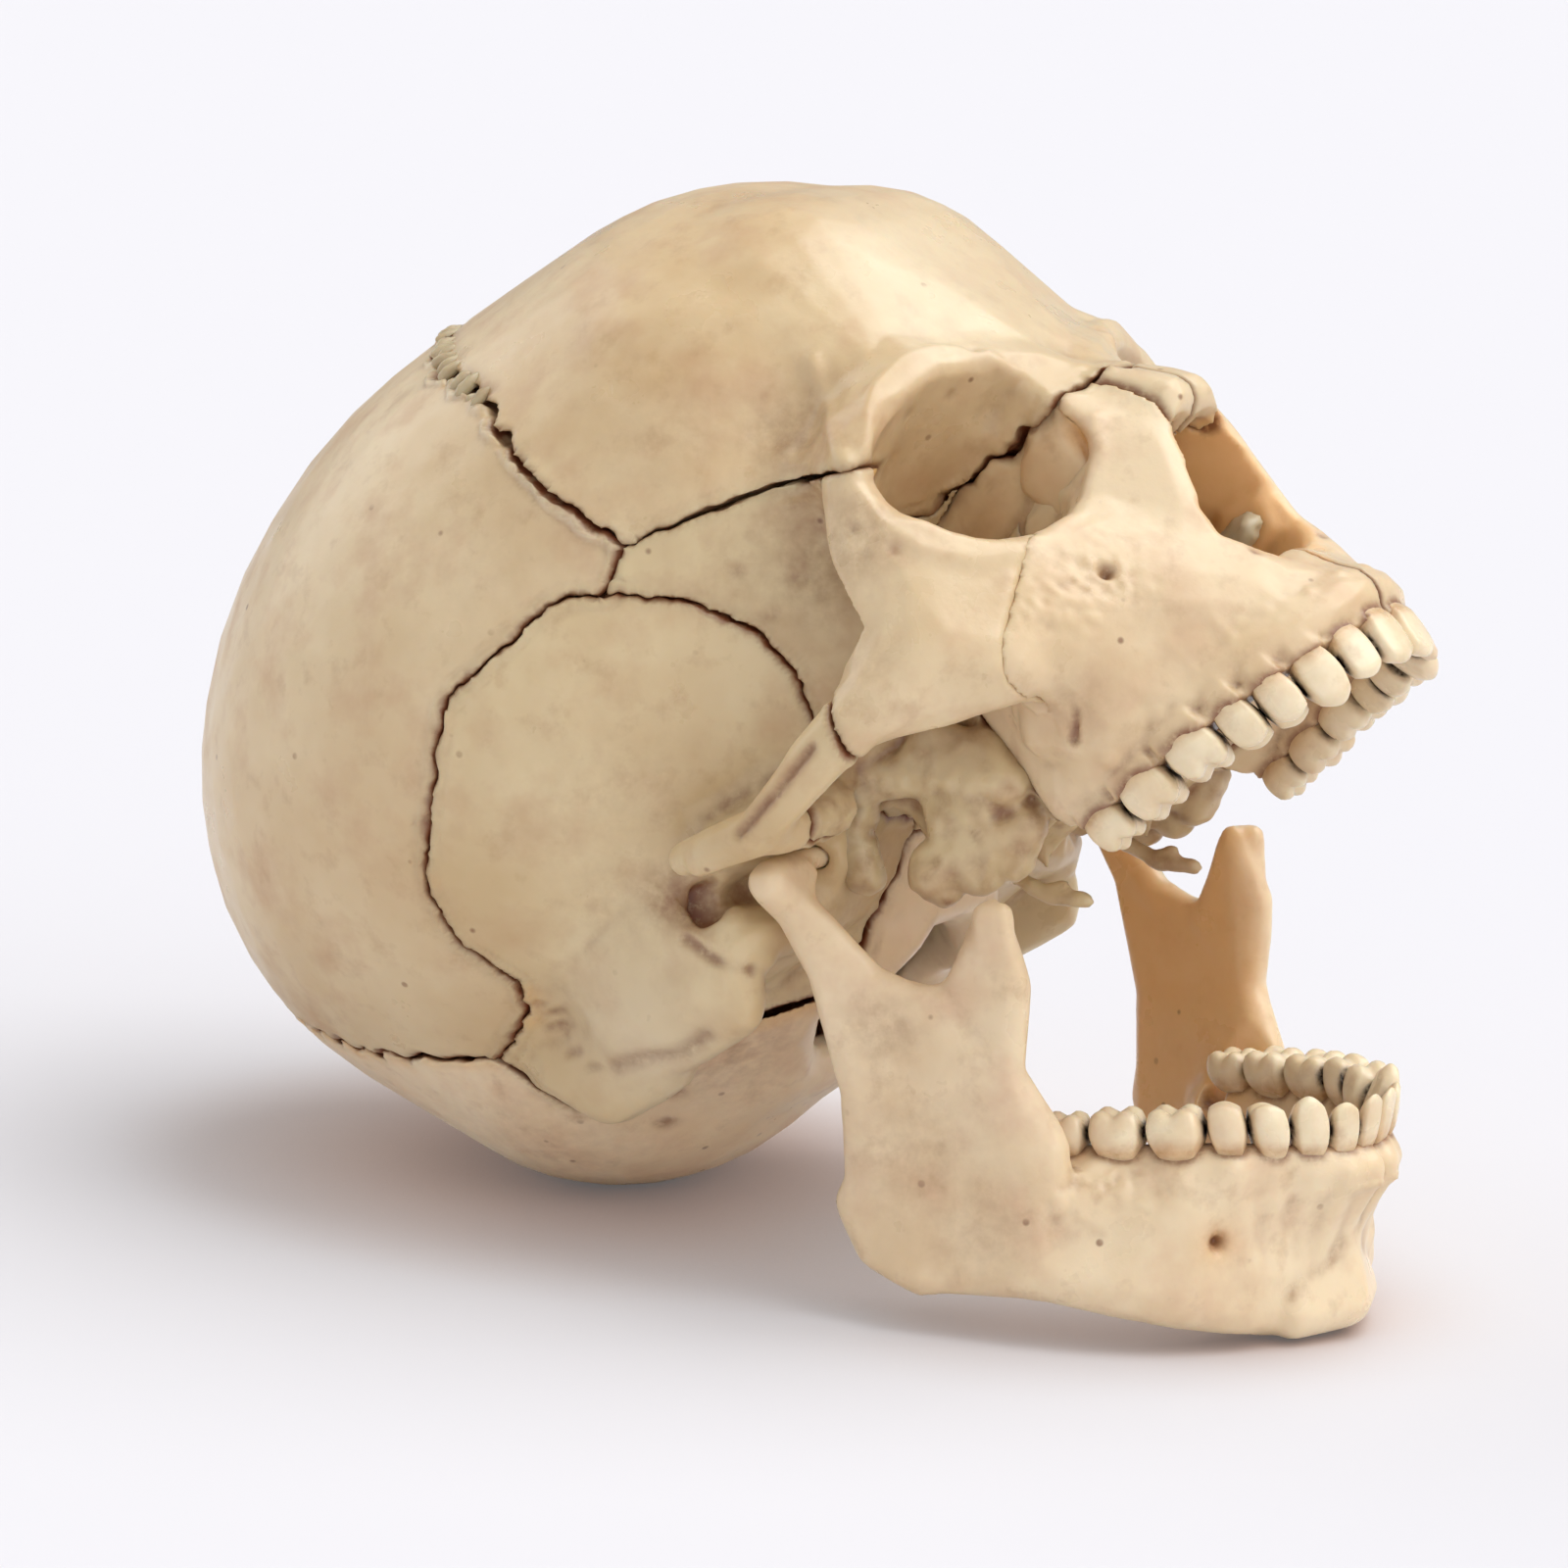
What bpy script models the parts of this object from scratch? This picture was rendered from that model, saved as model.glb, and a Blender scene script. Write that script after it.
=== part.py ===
"""Small moulded teaching skull whose bones are separate plastic pieces.

The skull is modelled upright, in the anatomist's frame: the origin is midway between the two ear
openings, +X the way the face looks, +Y the skull's left, +Z up, with the eye sockets' lower rims
level with the ears. Two empties then pose it as it rests on a table: the cranium tipped back on to
a small flat at the back of the occipital, and the lower jaw hung open on its pivots until the chin
touches the table too.

Places are shares of the skull's three driving sizes, so one share is a tenth of a metre on a
life-size skull. A form is the convex hull of a few balls, and forms are merged and smoothed into
one stock. The bones are then carved from that stock along the seams.
"""

import math

import bmesh
import bpy
import numpy as np
from mathutils import Matrix, Vector

# Driving sizes, in metres
SKULL_LENGTH = 0.1027  # from the back of the occipital to the upper front teeth
SKULL_BREADTH = 0.0738  # across the parietals
SKULL_HEIGHT = 0.1082  # from the crown to the chin, jaw closed
BONE_WALL = 0.0025  # plastic wall of the vault
FACE_SMOOTHING = 0.0012  # size of the roundings of the moulding
FINE_SMOOTHING_SHARE = 0.7  # the finest roundings, as a share of those
SEAM_GAP = 0.00042  # open seam between two bones
SEAM_TOOTH = 0.0009  # depth of the fingers along the serrated seams
SEAM_TOOTH_PITCH = 0.0034  # spacing of those fingers
PIVOT_RADIUS = 0.0010  # peg moulded on the inner end of each jaw condyle
PIVOT_REACH = 0.0032  # how far the peg enters the temporal
PIVOT_CLEARANCE = 0.0001  # running gap round the peg and past its end
PEG_RADIUS = 0.0007  # locating pegs between the two parietals
PEG_REACH = 0.0024
PEG_CLEARANCE = 0.0003
REST_LAND_DEPTH = 0.00045  # how deep the flats are cut that touch the table
TABLE_REACH_SHARE = 3  # size of the block that cuts the flats, in skull lengths
SEPTUM_THICKNESS = 0.00198  # wall that parts the nose
UPPER_CROWN_DROP = 0.0050  # how far the upper front teeth stand out of the gum
LOWER_CROWN_RISE = 0.0047

# Pose on the table, in degrees
TIP_BACK = 51.5
JAW_SWING_LIMITS = (28.0, 46.0)  # between these the chin meets the table

# How many shares each driving size spans
LENGTH_SPAN_SHARES = 1.975
BREADTH_SPAN_SHARES = 1.42
HEIGHT_SPAN_SHARES = 2.08

X_SHARE = SKULL_LENGTH / LENGTH_SPAN_SHARES
Y_SHARE = SKULL_BREADTH / BREADTH_SPAN_SHARES
Z_SHARE = SKULL_HEIGHT / HEIGHT_SPAN_SHARES
R_SHARE = (X_SHARE + Y_SHARE + Z_SHARE) / 3

# How many faces the smooth stocks keep
CRANIUM_FACES = 7600
JAW_FACES = 1500

# The jaw turns about the middle of its condyles. The first place is in the cranium with the jaw
# open as it rests, the second is the same point on the jaw as it is drawn, with the teeth closed.
PIVOT_SHARES = (0.127, -0.097)
JAW_TURN_CENTRE_SHARES = (0.12, -0.04)

# Eggs of the vault: middle (length, breadth, height), then half length, half breadth, half height
VAULT_SHARES = (
    (-0.165, 0.00, 0.47, 0.825, 0.71, 0.655),
    (0.31, 0.00, 0.48, 0.500, 0.575, 0.535),
    (-0.470, 0.00, 0.15, 0.420, 0.48, 0.385),
    (0.22, 0.22, 0.15, 0.27, 0.27, 0.27),
    (0.22, -0.22, 0.15, 0.27, 0.27, 0.27),
)


def clear_scene():
    for old in list(bpy.data.objects):
        bpy.data.objects.remove(old, do_unlink=True)


def place(share):
    """A point given in shares of the skull's sizes."""
    return Vector((share[0] * X_SHARE, share[1] * Y_SHARE, share[2] * Z_SHARE))


def mesh_object(name, mesh):
    thing = bpy.data.objects.new(name, mesh)
    bpy.context.scene.collection.objects.link(thing)
    return thing


def remove(thing):
    bpy.data.objects.remove(thing, do_unlink=True)


def baked(thing):
    """The mesh of an object with its modifiers applied, as an object that replaces it."""
    bpy.context.view_layer.update()
    graph = bpy.context.evaluated_depsgraph_get()
    mesh = bpy.data.meshes.new_from_object(thing.evaluated_get(graph))
    result = mesh_object(thing.name + "_baked", mesh)
    remove(thing)
    return result


def add_hull(bm, balls, detail=2):
    """Adds the convex hull of a few balls, each (length, breadth, height, radius) in shares."""
    hull = bmesh.new()
    for ball in balls:
        bmesh.ops.create_icosphere(
            hull, subdivisions=detail, radius=ball[3] * R_SHARE, matrix=Matrix.Translation(place(ball))
        )
    wrap(hull, bm)


def add_vault_egg(bm, inset):
    """The vault: one hull round a few eggs, each drawn in by inset."""
    hull = bmesh.new()
    for x, y, z, length, breadth, height in VAULT_SHARES:
        radii = (length * X_SHARE - inset, breadth * Y_SHARE - inset, height * Z_SHARE - inset)
        shape = Matrix.Translation(place((x, y, z))) @ Matrix.Diagonal((*radii, 1))
        bmesh.ops.create_icosphere(hull, subdivisions=4, radius=1, matrix=shape)
    wrap(hull, bm)


def wrap(hull, bm):
    """Replaces the shapes in hull by their convex hull and adds it to bm."""
    bmesh.ops.delete(hull, geom=hull.edges[:], context="EDGES_FACES")
    found = bmesh.ops.convex_hull(hull, input=hull.verts[:])
    loose = {v for v in found["geom_interior"] + found["geom_unused"] if isinstance(v, bmesh.types.BMVert)}
    bmesh.ops.delete(hull, geom=list(loose), context="VERTS")
    bmesh.ops.recalc_face_normals(hull, faces=hull.faces[:])
    skin = bpy.data.meshes.new("hull")
    hull.to_mesh(skin)
    hull.free()
    bm.from_mesh(skin)
    bpy.data.meshes.remove(skin)


def flipped(balls):
    return [(x, -y, z, r) for x, y, z, r in balls]


def both_sides(balls):
    return list(balls) + flipped(balls)


def add_pair(bm, balls, detail=2):
    """The same hull on the left and on the right."""
    add_hull(bm, balls, detail=detail)
    add_hull(bm, flipped(balls), detail=detail)


def add_chain(bm, balls, detail=1):
    """A bar that runs from ball to ball, on both sides."""
    for first, second in zip(balls, balls[1:]):
        add_pair(bm, (first, second), detail)


def finish_bmesh(bm, name):
    mesh = bpy.data.meshes.new(name)
    bm.to_mesh(mesh)
    bm.free()
    return mesh_object(name, mesh)


def merge_and_round(thing, voxel, rounds, faces=None):
    """Fuses overlapping forms into one skin, rounds it and thins its faces."""
    remesh = thing.modifiers.new("fuse", "REMESH")
    remesh.mode = "VOXEL"
    remesh.voxel_size = voxel
    smooth = thing.modifiers.new("round", "SMOOTH")
    smooth.factor = 0.5
    smooth.iterations = rounds
    result = baked(thing)
    if faces:
        thin = result.modifiers.new("thin", "DECIMATE")
        thin.ratio = min(1.0, faces / (2 * len(result.data.polygons)))
        result = baked(result)
    return result


def is_closed(mesh):
    """Whether every edge of a mesh has just two faces."""
    bm = bmesh.new()
    bm.from_mesh(mesh)
    closed = all(edge.is_manifold for edge in bm.edges)
    bm.free()
    return closed


def boolean(thing, cutter, operation, overlapping=False):
    """One Boolean, applied at once. The exact solver cuts, and the manifold one where that leaves a gap."""
    cut = thing.modifiers.new("cut", "BOOLEAN")
    cut.operation = operation
    cut.object = cutter
    cut.use_self = overlapping
    bpy.context.view_layer.update()
    trial = bpy.data.meshes.new_from_object(thing.evaluated_get(bpy.context.evaluated_depsgraph_get()))
    if not is_closed(trial):
        cut.solver = "MANIFOLD"
    bpy.data.meshes.remove(trial)
    result = baked(thing)
    remove(cutter)
    return result


def islands(bm):
    """The separate bodies of a mesh, as lists of faces, largest first."""
    unseen = set(bm.faces)
    found = []
    while unseen:
        seed = unseen.pop()
        body = [seed]
        for face in body:
            for edge in face.edges:
                for other in edge.link_faces:
                    if other in unseen:
                        unseen.remove(other)
                        body.append(other)
        found.append(body)
    return sorted(found, key=len, reverse=True)


def keep_one_body(thing, chooser=None):
    """Deletes the swarf that a cut leaves, and keeps the largest body, or the largest chosen one."""
    bm = bmesh.new()
    bm.from_mesh(thing.data)
    bodies = islands(bm)
    if chooser:
        bodies = [body for body in bodies if chooser(body)]
    kept = set(bodies[0])
    waste = [face for face in bm.faces if face not in kept]
    bmesh.ops.delete(bm, geom=waste, context="FACES")
    bm.to_mesh(thing.data)
    bm.free()
    return thing


# Stock of the cranium


def add_vault(bm):
    add_vault_egg(bm, 0)
    forehead_shares = ((0.810, 0.05, 0.30, 0.050), (0.75, 0.33, 0.300, 0.036), (0.52, 0.12, 0.56, 0.30))
    add_hull(bm, both_sides(forehead_shares), detail=3)


def add_brow(bm):
    brow_shares = (
        (0.845, 0.06, 0.235, 0.048),
        (0.825, 0.18, 0.288, 0.036),
        (0.795, 0.31, 0.308, 0.036),
        (0.750, 0.42, 0.295, 0.036),
        (0.700, 0.485, 0.255, 0.036),
        (0.672, 0.500, 0.225, 0.034),
    )
    add_chain(bm, brow_shares)
    roof_shares = (
        (0.79, 0.30, 0.345, 0.035),
        (0.70, 0.46, 0.30, 0.035),
        (0.45, 0.30, 0.36, 0.12),
        (0.60, 0.08, 0.34, 0.10),
    )
    add_pair(bm, roof_shares)
    temple_shares = ((0.68, 0.47, 0.27, 0.03), (0.52, 0.40, 0.36, 0.08), (0.58, 0.40, 0.27, 0.03))
    add_pair(bm, temple_shares)


def add_nose(bm):
    bridge_shares = (
        (0.85, 0.040, 0.185, 0.055),
        (0.958, 0.035, 0.068, 0.045),
        (0.80, 0.11, 0.06, 0.06),
        (0.86, 0.10, -0.02, 0.045),
    )
    add_pair(bm, bridge_shares)
    frontal_process_shares = (
        (0.835, 0.135, 0.19, 0.035),
        (0.82, 0.17, 0.02, 0.045),
        (0.925, 0.09, 0.00, 0.035),
        (0.885, 0.13, -0.14, 0.035),
    )
    add_pair(bm, frontal_process_shares)
    block_shares = (
        (0.80, 0.08, 0.18, 0.08),
        (0.55, 0.08, 0.20, 0.08),
        (0.55, 0.08, 0.02, 0.08),
        (0.78, 0.10, 0.02, 0.06),
    )
    add_hull(bm, both_sides(block_shares))


def add_maxilla(bm):
    body_shares = (
        (0.765, 0.30, -0.045, 0.040),
        (0.815, 0.17, -0.030, 0.045),
        (0.700, 0.40, -0.110, 0.050),
        (0.880, 0.13, -0.290, 0.055),
        (0.640, 0.33, -0.290, 0.055),
        (0.530, 0.27, -0.300, 0.060),
        (0.530, 0.27, -0.080, 0.050),
    )
    add_pair(bm, body_shares)
    side_shares = (
        (0.868, 0.13, -0.12, 0.035),
        (0.905, 0.10, -0.27, 0.045),
        (0.85, 0.18, -0.28, 0.05),
        (0.79, 0.22, -0.12, 0.04),
    )
    add_pair(bm, side_shares)
    floor_shares = (
        (0.905, 0.03, -0.275, 0.035),
        (0.885, 0.11, -0.290, 0.045),
        (0.935, 0.04, -0.345, 0.045),
        (0.86, 0.15, -0.34, 0.05),
    )
    add_hull(bm, both_sides(floor_shares))
    palate_shares = (
        (0.86, 0.14, -0.275, 0.030),
        (0.50, 0.24, -0.275, 0.030),
        (0.92, 0.03, -0.28, 0.03),
    )
    add_hull(bm, both_sides(palate_shares))
    spine_shares = ((0.88, 0.0, -0.265, 0.045), (0.935, 0.0, -0.240, 0.018))
    add_hull(bm, spine_shares)
    add_chain(bm, gum_arch(UPPER_ARCH_SHARES, -0.045, 0.050))
    tuber_shares = ((0.50, 0.28, -0.32, 0.055), (0.48, 0.25, -0.12, 0.06), (0.44, 0.22, -0.24, 0.04))
    add_pair(bm, tuber_shares)


# The gum line along half a jaw, from its middle to its back: length, breadth, height
UPPER_ARCH_SHARES = (
    (0.958, 0.000, -0.420),
    (0.952, 0.060, -0.420),
    (0.920, 0.125, -0.420),
    (0.860, 0.185, -0.412),
    (0.780, 0.235, -0.400),
    (0.690, 0.268, -0.385),
    (0.590, 0.290, -0.380),
    (0.480, 0.300, -0.375),
)
LOWER_ARCH_SHARES = (
    (0.888, 0.000, -0.660),
    (0.882, 0.055, -0.660),
    (0.855, 0.110, -0.650),
    (0.810, 0.165, -0.635),
    (0.745, 0.212, -0.620),
    (0.660, 0.245, -0.610),
    (0.555, 0.275, -0.600),
    (0.440, 0.298, -0.590),
)


def gum_arch(arch_shares, drop_share, radius_share):
    return [(x, y, z - drop_share, radius_share) for x, y, z in arch_shares]


def add_cheek(bm):
    frontal_process_shares = (
        (0.668, 0.500, 0.215, 0.036),
        (0.640, 0.505, 0.150, 0.040),
        (0.632, 0.500, 0.060, 0.050),
    )
    add_chain(bm, frontal_process_shares, 2)
    process_back_shares = (
        (0.655, 0.500, 0.240, 0.030),
        (0.615, 0.505, 0.170, 0.036),
        (0.560, 0.520, 0.060, 0.036),
        (0.510, 0.555, 0.000, 0.036),
        (0.632, 0.500, 0.060, 0.050),
        (0.660, 0.500, 0.200, 0.036),
    )
    add_pair(bm, process_back_shares)
    body_shares = (
        (0.632, 0.500, 0.060, 0.050),
        (0.70, 0.420, 0.005, 0.035),
        (0.600, 0.535, -0.070, 0.045),
        (0.655, 0.460, -0.150, 0.045),
        (0.72, 0.37, -0.060, 0.05),
    )
    add_pair(bm, body_shares)
    lower_border_shares = (
        (0.470, 0.570, -0.090, 0.036),
        (0.550, 0.515, -0.140, 0.036),
        (0.635, 0.440, -0.185, 0.036),
        (0.600, 0.520, -0.060, 0.045),
        (0.680, 0.430, -0.100, 0.045),
    )
    add_pair(bm, lower_border_shares)
    rim_shares = (
        (0.70, 0.470, 0.10, 0.030),
        (0.710, 0.430, 0.030, 0.035),
        (0.755, 0.340, -0.030, 0.035),
        (0.80, 0.23, -0.035, 0.035),
    )
    add_chain(bm, rim_shares)
    socket_wall_shares = (
        (0.665, 0.465, 0.22, 0.022),
        (0.66, 0.455, 0.00, 0.022),
        (0.50, 0.36, 0.22, 0.03),
        (0.50, 0.35, 0.00, 0.03),
    )
    add_pair(bm, socket_wall_shares)
    arch_shares = (
        (0.600, 0.535, -0.070, 0.045),
        (0.500, 0.600, -0.070, 0.045),
        (0.400, 0.630, -0.070, 0.038),
        (0.260, 0.640, -0.070, 0.034),
        (0.160, 0.610, -0.055, 0.040),
        (0.065, 0.600, -0.022, 0.034),
    )
    add_chain(bm, arch_shares)
    arch_low_shares = (
        (0.55, 0.57, -0.100, 0.036),
        (0.42, 0.62, -0.098, 0.032),
        (0.27, 0.640, -0.095, 0.030),
        (0.20, 0.61, -0.085, 0.035),
    )
    add_chain(bm, arch_low_shares)
    arch_top_shares = (
        (0.630, 0.510, 0.010, 0.040),
        (0.500, 0.600, -0.045, 0.040),
        (0.26, 0.640, -0.055, 0.03),
    )
    add_chain(bm, arch_top_shares)


def add_temporal(bm):
    root_shares = (
        (0.19, 0.600, -0.060, 0.034),
        (0.20, 0.46, -0.055, 0.050),
        (0.10, 0.60, -0.025, 0.030),
        (0.09, 0.46, -0.02, 0.045),
    )
    add_pair(bm, root_shares)
    tubercle_shares = ((0.22, 0.56, -0.090, 0.045), (0.24, 0.44, -0.080, 0.050))
    add_pair(bm, tubercle_shares)
    mastoid_shares = (
        (-0.050, 0.490, 0.020, 0.060),
        (-0.260, 0.480, 0.020, 0.070),
        (-0.085, 0.505, -0.215, 0.042),
        (-0.020, 0.505, -0.100, 0.045),
        (-0.200, 0.480, -0.180, 0.045),
        (-0.340, 0.455, -0.100, 0.060),
    )
    add_pair(bm, mastoid_shares, 2)
    skirt_shares = (
        (-0.470, 0.450, -0.030, 0.045),
        (-0.430, 0.450, -0.130, 0.045),
        (-0.300, 0.440, -0.165, 0.045),
        (-0.360, 0.340, -0.040, 0.080),
        (-0.200, 0.440, -0.060, 0.060),
    )
    add_pair(bm, skirt_shares, 2)
    ear_shares = (
        (0.020, 0.49, -0.145, 0.035),
        (-0.01, 0.53, -0.140, 0.028),
        (-0.03, 0.49, -0.13, 0.04),
        (0.03, 0.38, -0.15, 0.05),
    )
    add_pair(bm, ear_shares)
    petrous_shares = (
        (0.13, 0.36, -0.100, 0.060),
        (0.10, 0.15, -0.100, 0.060),
        (-0.10, 0.36, -0.10, 0.07),
        (0.02, 0.30, -0.14, 0.05),
    )
    add_pair(bm, petrous_shares)


def add_base(bm):
    basilar_shares = (
        (0.22, 0.06, -0.050, 0.070),
        (0.04, 0.07, -0.170, 0.060),
        (0.04, 0.16, -0.12, 0.06),
    )
    add_hull(bm, both_sides(basilar_shares))
    condyle_shares = (
        (0.005, 0.115, -0.215, 0.042),
        (-0.110, 0.165, -0.215, 0.042),
        (-0.05, 0.20, -0.12, 0.06),
    )
    add_pair(bm, condyle_shares)
    nuchal_shares = (
        (-0.36, 0.10, -0.190, 0.065),
        (-0.58, 0.12, -0.080, 0.120),
        (-0.60, 0.26, 0.010, 0.120),
        (-0.30, 0.36, -0.080, 0.080),
        (-0.16, 0.24, -0.170, 0.055),
        (-0.36, 0.20, -0.05, 0.10),
    )
    add_pair(bm, nuchal_shares)
    add_hull(bm, both_sides(nuchal_shares[:2]))


def add_sphenoid(bm):
    body_shares = ((0.26, 0.12, 0.00, 0.09), (0.46, 0.12, 0.03, 0.08), (0.36, 0.14, -0.05, 0.05))
    add_hull(bm, both_sides(body_shares))
    wing_shares = (
        (0.36, 0.40, 0.02, 0.05),
        (0.47, 0.36, 0.02, 0.05),
        (0.36, 0.20, -0.05, 0.05),
        (0.45, 0.42, 0.22, 0.06),
        (0.36, 0.46, 0.25, 0.06),
    )
    add_pair(bm, wing_shares)
    outer_plate_shares = (
        (0.43, 0.23, -0.10, 0.030),
        (0.42, 0.23, -0.30, 0.024),
        (0.250, 0.30, -0.280, 0.028),
        (0.28, 0.27, -0.10, 0.03),
    )
    add_pair(bm, outer_plate_shares)
    inner_plate_shares = (
        (0.43, 0.15, -0.08, 0.025),
        (0.43, 0.15, -0.31, 0.020),
        (0.30, 0.16, -0.31, 0.020),
        (0.28, 0.15, -0.08, 0.025),
    )
    add_pair(bm, inner_plate_shares)
    hook_shares = ((0.31, 0.16, -0.31, 0.020), (0.285, 0.175, -0.375, 0.020))
    add_pair(bm, hook_shares)
    root_shares = ((0.44, 0.19, -0.10, 0.060), (0.44, 0.19, -0.27, 0.035), (0.36, 0.19, -0.06, 0.06))
    add_pair(bm, root_shares)


# The braincase stays above the eye sockets and the block between them
FRONT_FLOOR_SHARES = ((0.84, 0.30, 0.15, 0.200), (0.60, 0.30, 0.13, 0.185), (0.40, 0.17, 0.10, 0.100))


def cavity_cutters():
    """Everything hollow in the cranium, as one mesh of separate closed cutters."""
    egg = bmesh.new()
    add_vault_egg(egg, BONE_WALL)
    braincase = finish_bmesh(egg, "braincase")
    floor = bmesh.new()
    add_hull(floor, both_sides(FRONT_FLOOR_SHARES))
    braincase = boolean(braincase, finish_bmesh(floor, "front_floor"), "DIFFERENCE")
    bm = bmesh.new()
    bm.from_mesh(braincase.data)
    remove(braincase)
    add_socket_cutters(bm)
    add_nose_cutters(bm)
    add_mouth_cutters(bm)
    add_base_cutters(bm)
    return finish_bmesh(bm, "hollows")


def add_socket_cutters(bm):
    rim_shares = (
        (0.885, 0.195, 0.265),
        (0.880, 0.300, 0.292),
        (0.830, 0.405, 0.275),
        (0.712, 0.476, 0.215),
        (0.700, 0.462, 0.115),
        (0.725, 0.385, 0.022),
        (0.785, 0.265, -0.002),
        (0.845, 0.180, 0.050),
        (0.880, 0.165, 0.170),
    )
    forward_share = 0.16
    ball_share = 0.012
    opening = [(x, y, z, ball_share) for x, y, z in rim_shares]
    ahead = [(x + forward_share, y + forward_share / 4, z, ball_share) for x, y, z in rim_shares]
    depth_shares = (
        (0.62, 0.30, 0.245, 0.02),
        (0.62, 0.40, 0.10, 0.02),
        (0.62, 0.19, 0.05, 0.02),
        (0.40, 0.15, 0.13, 0.035),
    )
    add_pair(bm, opening + ahead, 1)
    add_pair(bm, opening + list(depth_shares), 1)


def add_nose_cutters(bm):
    pear_shares = (
        (1.000, 0.030, 0.030),
        (0.985, 0.075, -0.040),
        (0.955, 0.105, -0.110),
        (0.930, 0.110, -0.180),
        (0.935, 0.070, -0.225),
    )
    forward_share = 0.14
    ball_share = 0.010
    opening = [(x, y, z, ball_share) for x, y, z in pear_shares]
    ahead = [(x + forward_share, y, z - forward_share / 4, ball_share) for x, y, z in pear_shares]
    back_shares = (
        (0.34, 0.11, -0.215, 0.015),
        (0.34, 0.10, -0.09, 0.02),
        (0.60, 0.06, 0.05, 0.02),
        (0.84, 0.05, 0.08, 0.015),
    )
    septum_share = SEPTUM_THICKNESS / 2 / Y_SHARE
    innermost_share = 0.035
    for side in (1, -1):
        half = [(x, side * max(y, innermost_share), z, r) for x, y, z, r in opening + list(back_shares)]
        wall = [(x, side * (septum_share + r), z, r) for x, y, z, r in opening + list(back_shares)]
        add_hull(bm, half + wall, detail=1)
    add_hull(bm, both_sides([(x, y, z, r) for x, y, z, r in opening + ahead]), detail=1)


def add_mouth_cutters(bm):
    palate_shares = (
        (0.885, 0.05, -0.375, 0.05),
        (0.78, 0.14, -0.375, 0.05),
        (0.40, 0.17, -0.375, 0.05),
        (0.78, 0.05, -0.36, 0.05),
        (0.45, 0.06, -0.36, 0.05),
    )
    below_shares = [(x, y, z - 0.25, r) for x, y, z, r in palate_shares]
    add_hull(bm, both_sides(list(palate_shares) + below_shares), detail=1)


def add_base_cutters(bm):
    spine_hole_share = 0.14
    hole_shares = ((-0.175, 0.02, -0.45, spine_hole_share), (-0.155, 0.02, 0.02, spine_hole_share))
    add_hull(bm, both_sides(hole_shares))
    ear_hole_shares = ((-0.015, 0.62, -0.050, 0.040), (0.015, 0.44, -0.060, 0.028))
    add_pair(bm, ear_hole_shares, 1)
    jaw_socket_shares = (
        (0.125, 0.57, -0.105, 0.060),
        (0.125, 0.44, -0.105, 0.060),
        (0.13, 0.57, -0.22, 0.07),
        (0.13, 0.44, -0.22, 0.07),
    )
    add_pair(bm, jaw_socket_shares)


def add_concha(bm):
    """The scrolls on the side walls of the nose, set in after the nose is hollowed."""
    scroll_shares = (
        (0.62, 0.105, -0.120, 0.022),
        (0.86, 0.105, -0.125, 0.022),
        (0.86, 0.070, -0.145, 0.020),
        (0.62, 0.070, -0.145, 0.022),
    )
    add_pair(bm, scroll_shares)


def cranium_stock():
    bm = bmesh.new()
    add_vault(bm)
    add_brow(bm)
    add_nose(bm)
    add_maxilla(bm)
    add_cheek(bm)
    add_temporal(bm)
    add_base(bm)
    add_sphenoid(bm)
    outer = finish_bmesh(bm, "cranium_outer")
    outer = merge_and_round(outer, FACE_SMOOTHING, 3)
    hollow = merge_and_round(cavity_cutters(), FACE_SMOOTHING, 1)
    stock = boolean(outer, hollow, "DIFFERENCE")
    bm = bmesh.new()
    bm.from_mesh(stock.data)
    remove(stock)
    add_concha(bm)
    stock = finish_bmesh(bm, "cranium")
    return keep_one_body(merge_and_round(stock, FACE_SMOOTHING * FINE_SMOOTHING_SHARE, 3, CRANIUM_FACES))


# Carving the bones


def serrated(start, end, depth, pitch):
    """One run of a seam with fingers: a zigzag square to the run, without its last point."""
    run = end - start
    steps = max(1, round(run.length / pitch)) * 2
    side = Vector((-run.y, run.x)).normalized() * depth / 2
    return [start + run * (step / steps) + side * (1 if step % 2 else -1) for step in range(steps)]


def outline(shares, toothed=()):
    """A lateral outline, with the runs that start at the listed corners serrated."""
    corners = [Vector((x * X_SHARE, z * Z_SHARE)) for x, z in shares]
    points = []
    for index, corner in enumerate(corners):
        following = corners[(index + 1) % len(corners)]
        if index in toothed:
            points += serrated(corner, following, SEAM_TOOTH, SEAM_TOOTH_PITCH)
        else:
            points.append(corner)
    return points


def drawn_in(points, amount):
    """A closed outline moved inwards by the same amount along every edge."""
    count = len(points)
    area = sum(points[i].x * points[i - 1].y - points[i - 1].x * points[i].y for i in range(count))
    turn = -1 if area > 0 else 1
    result = []
    for i, point in enumerate(points):
        before = (point - points[i - 1]).normalized()
        after = (points[(i + 1) % count] - point).normalized()
        first = Vector((-before.y, before.x)) * turn
        second = Vector((-after.y, after.x)) * turn
        result.append(point + (first + second) * (amount / max(0.4, 1 + first.dot(second))))
    return result


def prism(points, low, high):
    """A closed prism across the skull, from one breadth to another."""
    bm = bmesh.new()
    face = bm.faces.new([bm.verts.new((p.x, low, p.y)) for p in points])
    moved = bmesh.ops.extrude_face_region(bm, geom=[face])["geom"]
    raised = [v for v in moved if isinstance(v, bmesh.types.BMVert)]
    bmesh.ops.translate(bm, verts=raised, vec=(0, high - low, 0))
    bmesh.ops.recalc_face_normals(bm, faces=bm.faces[:])
    return finish_bmesh(bm, "prism")


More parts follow.
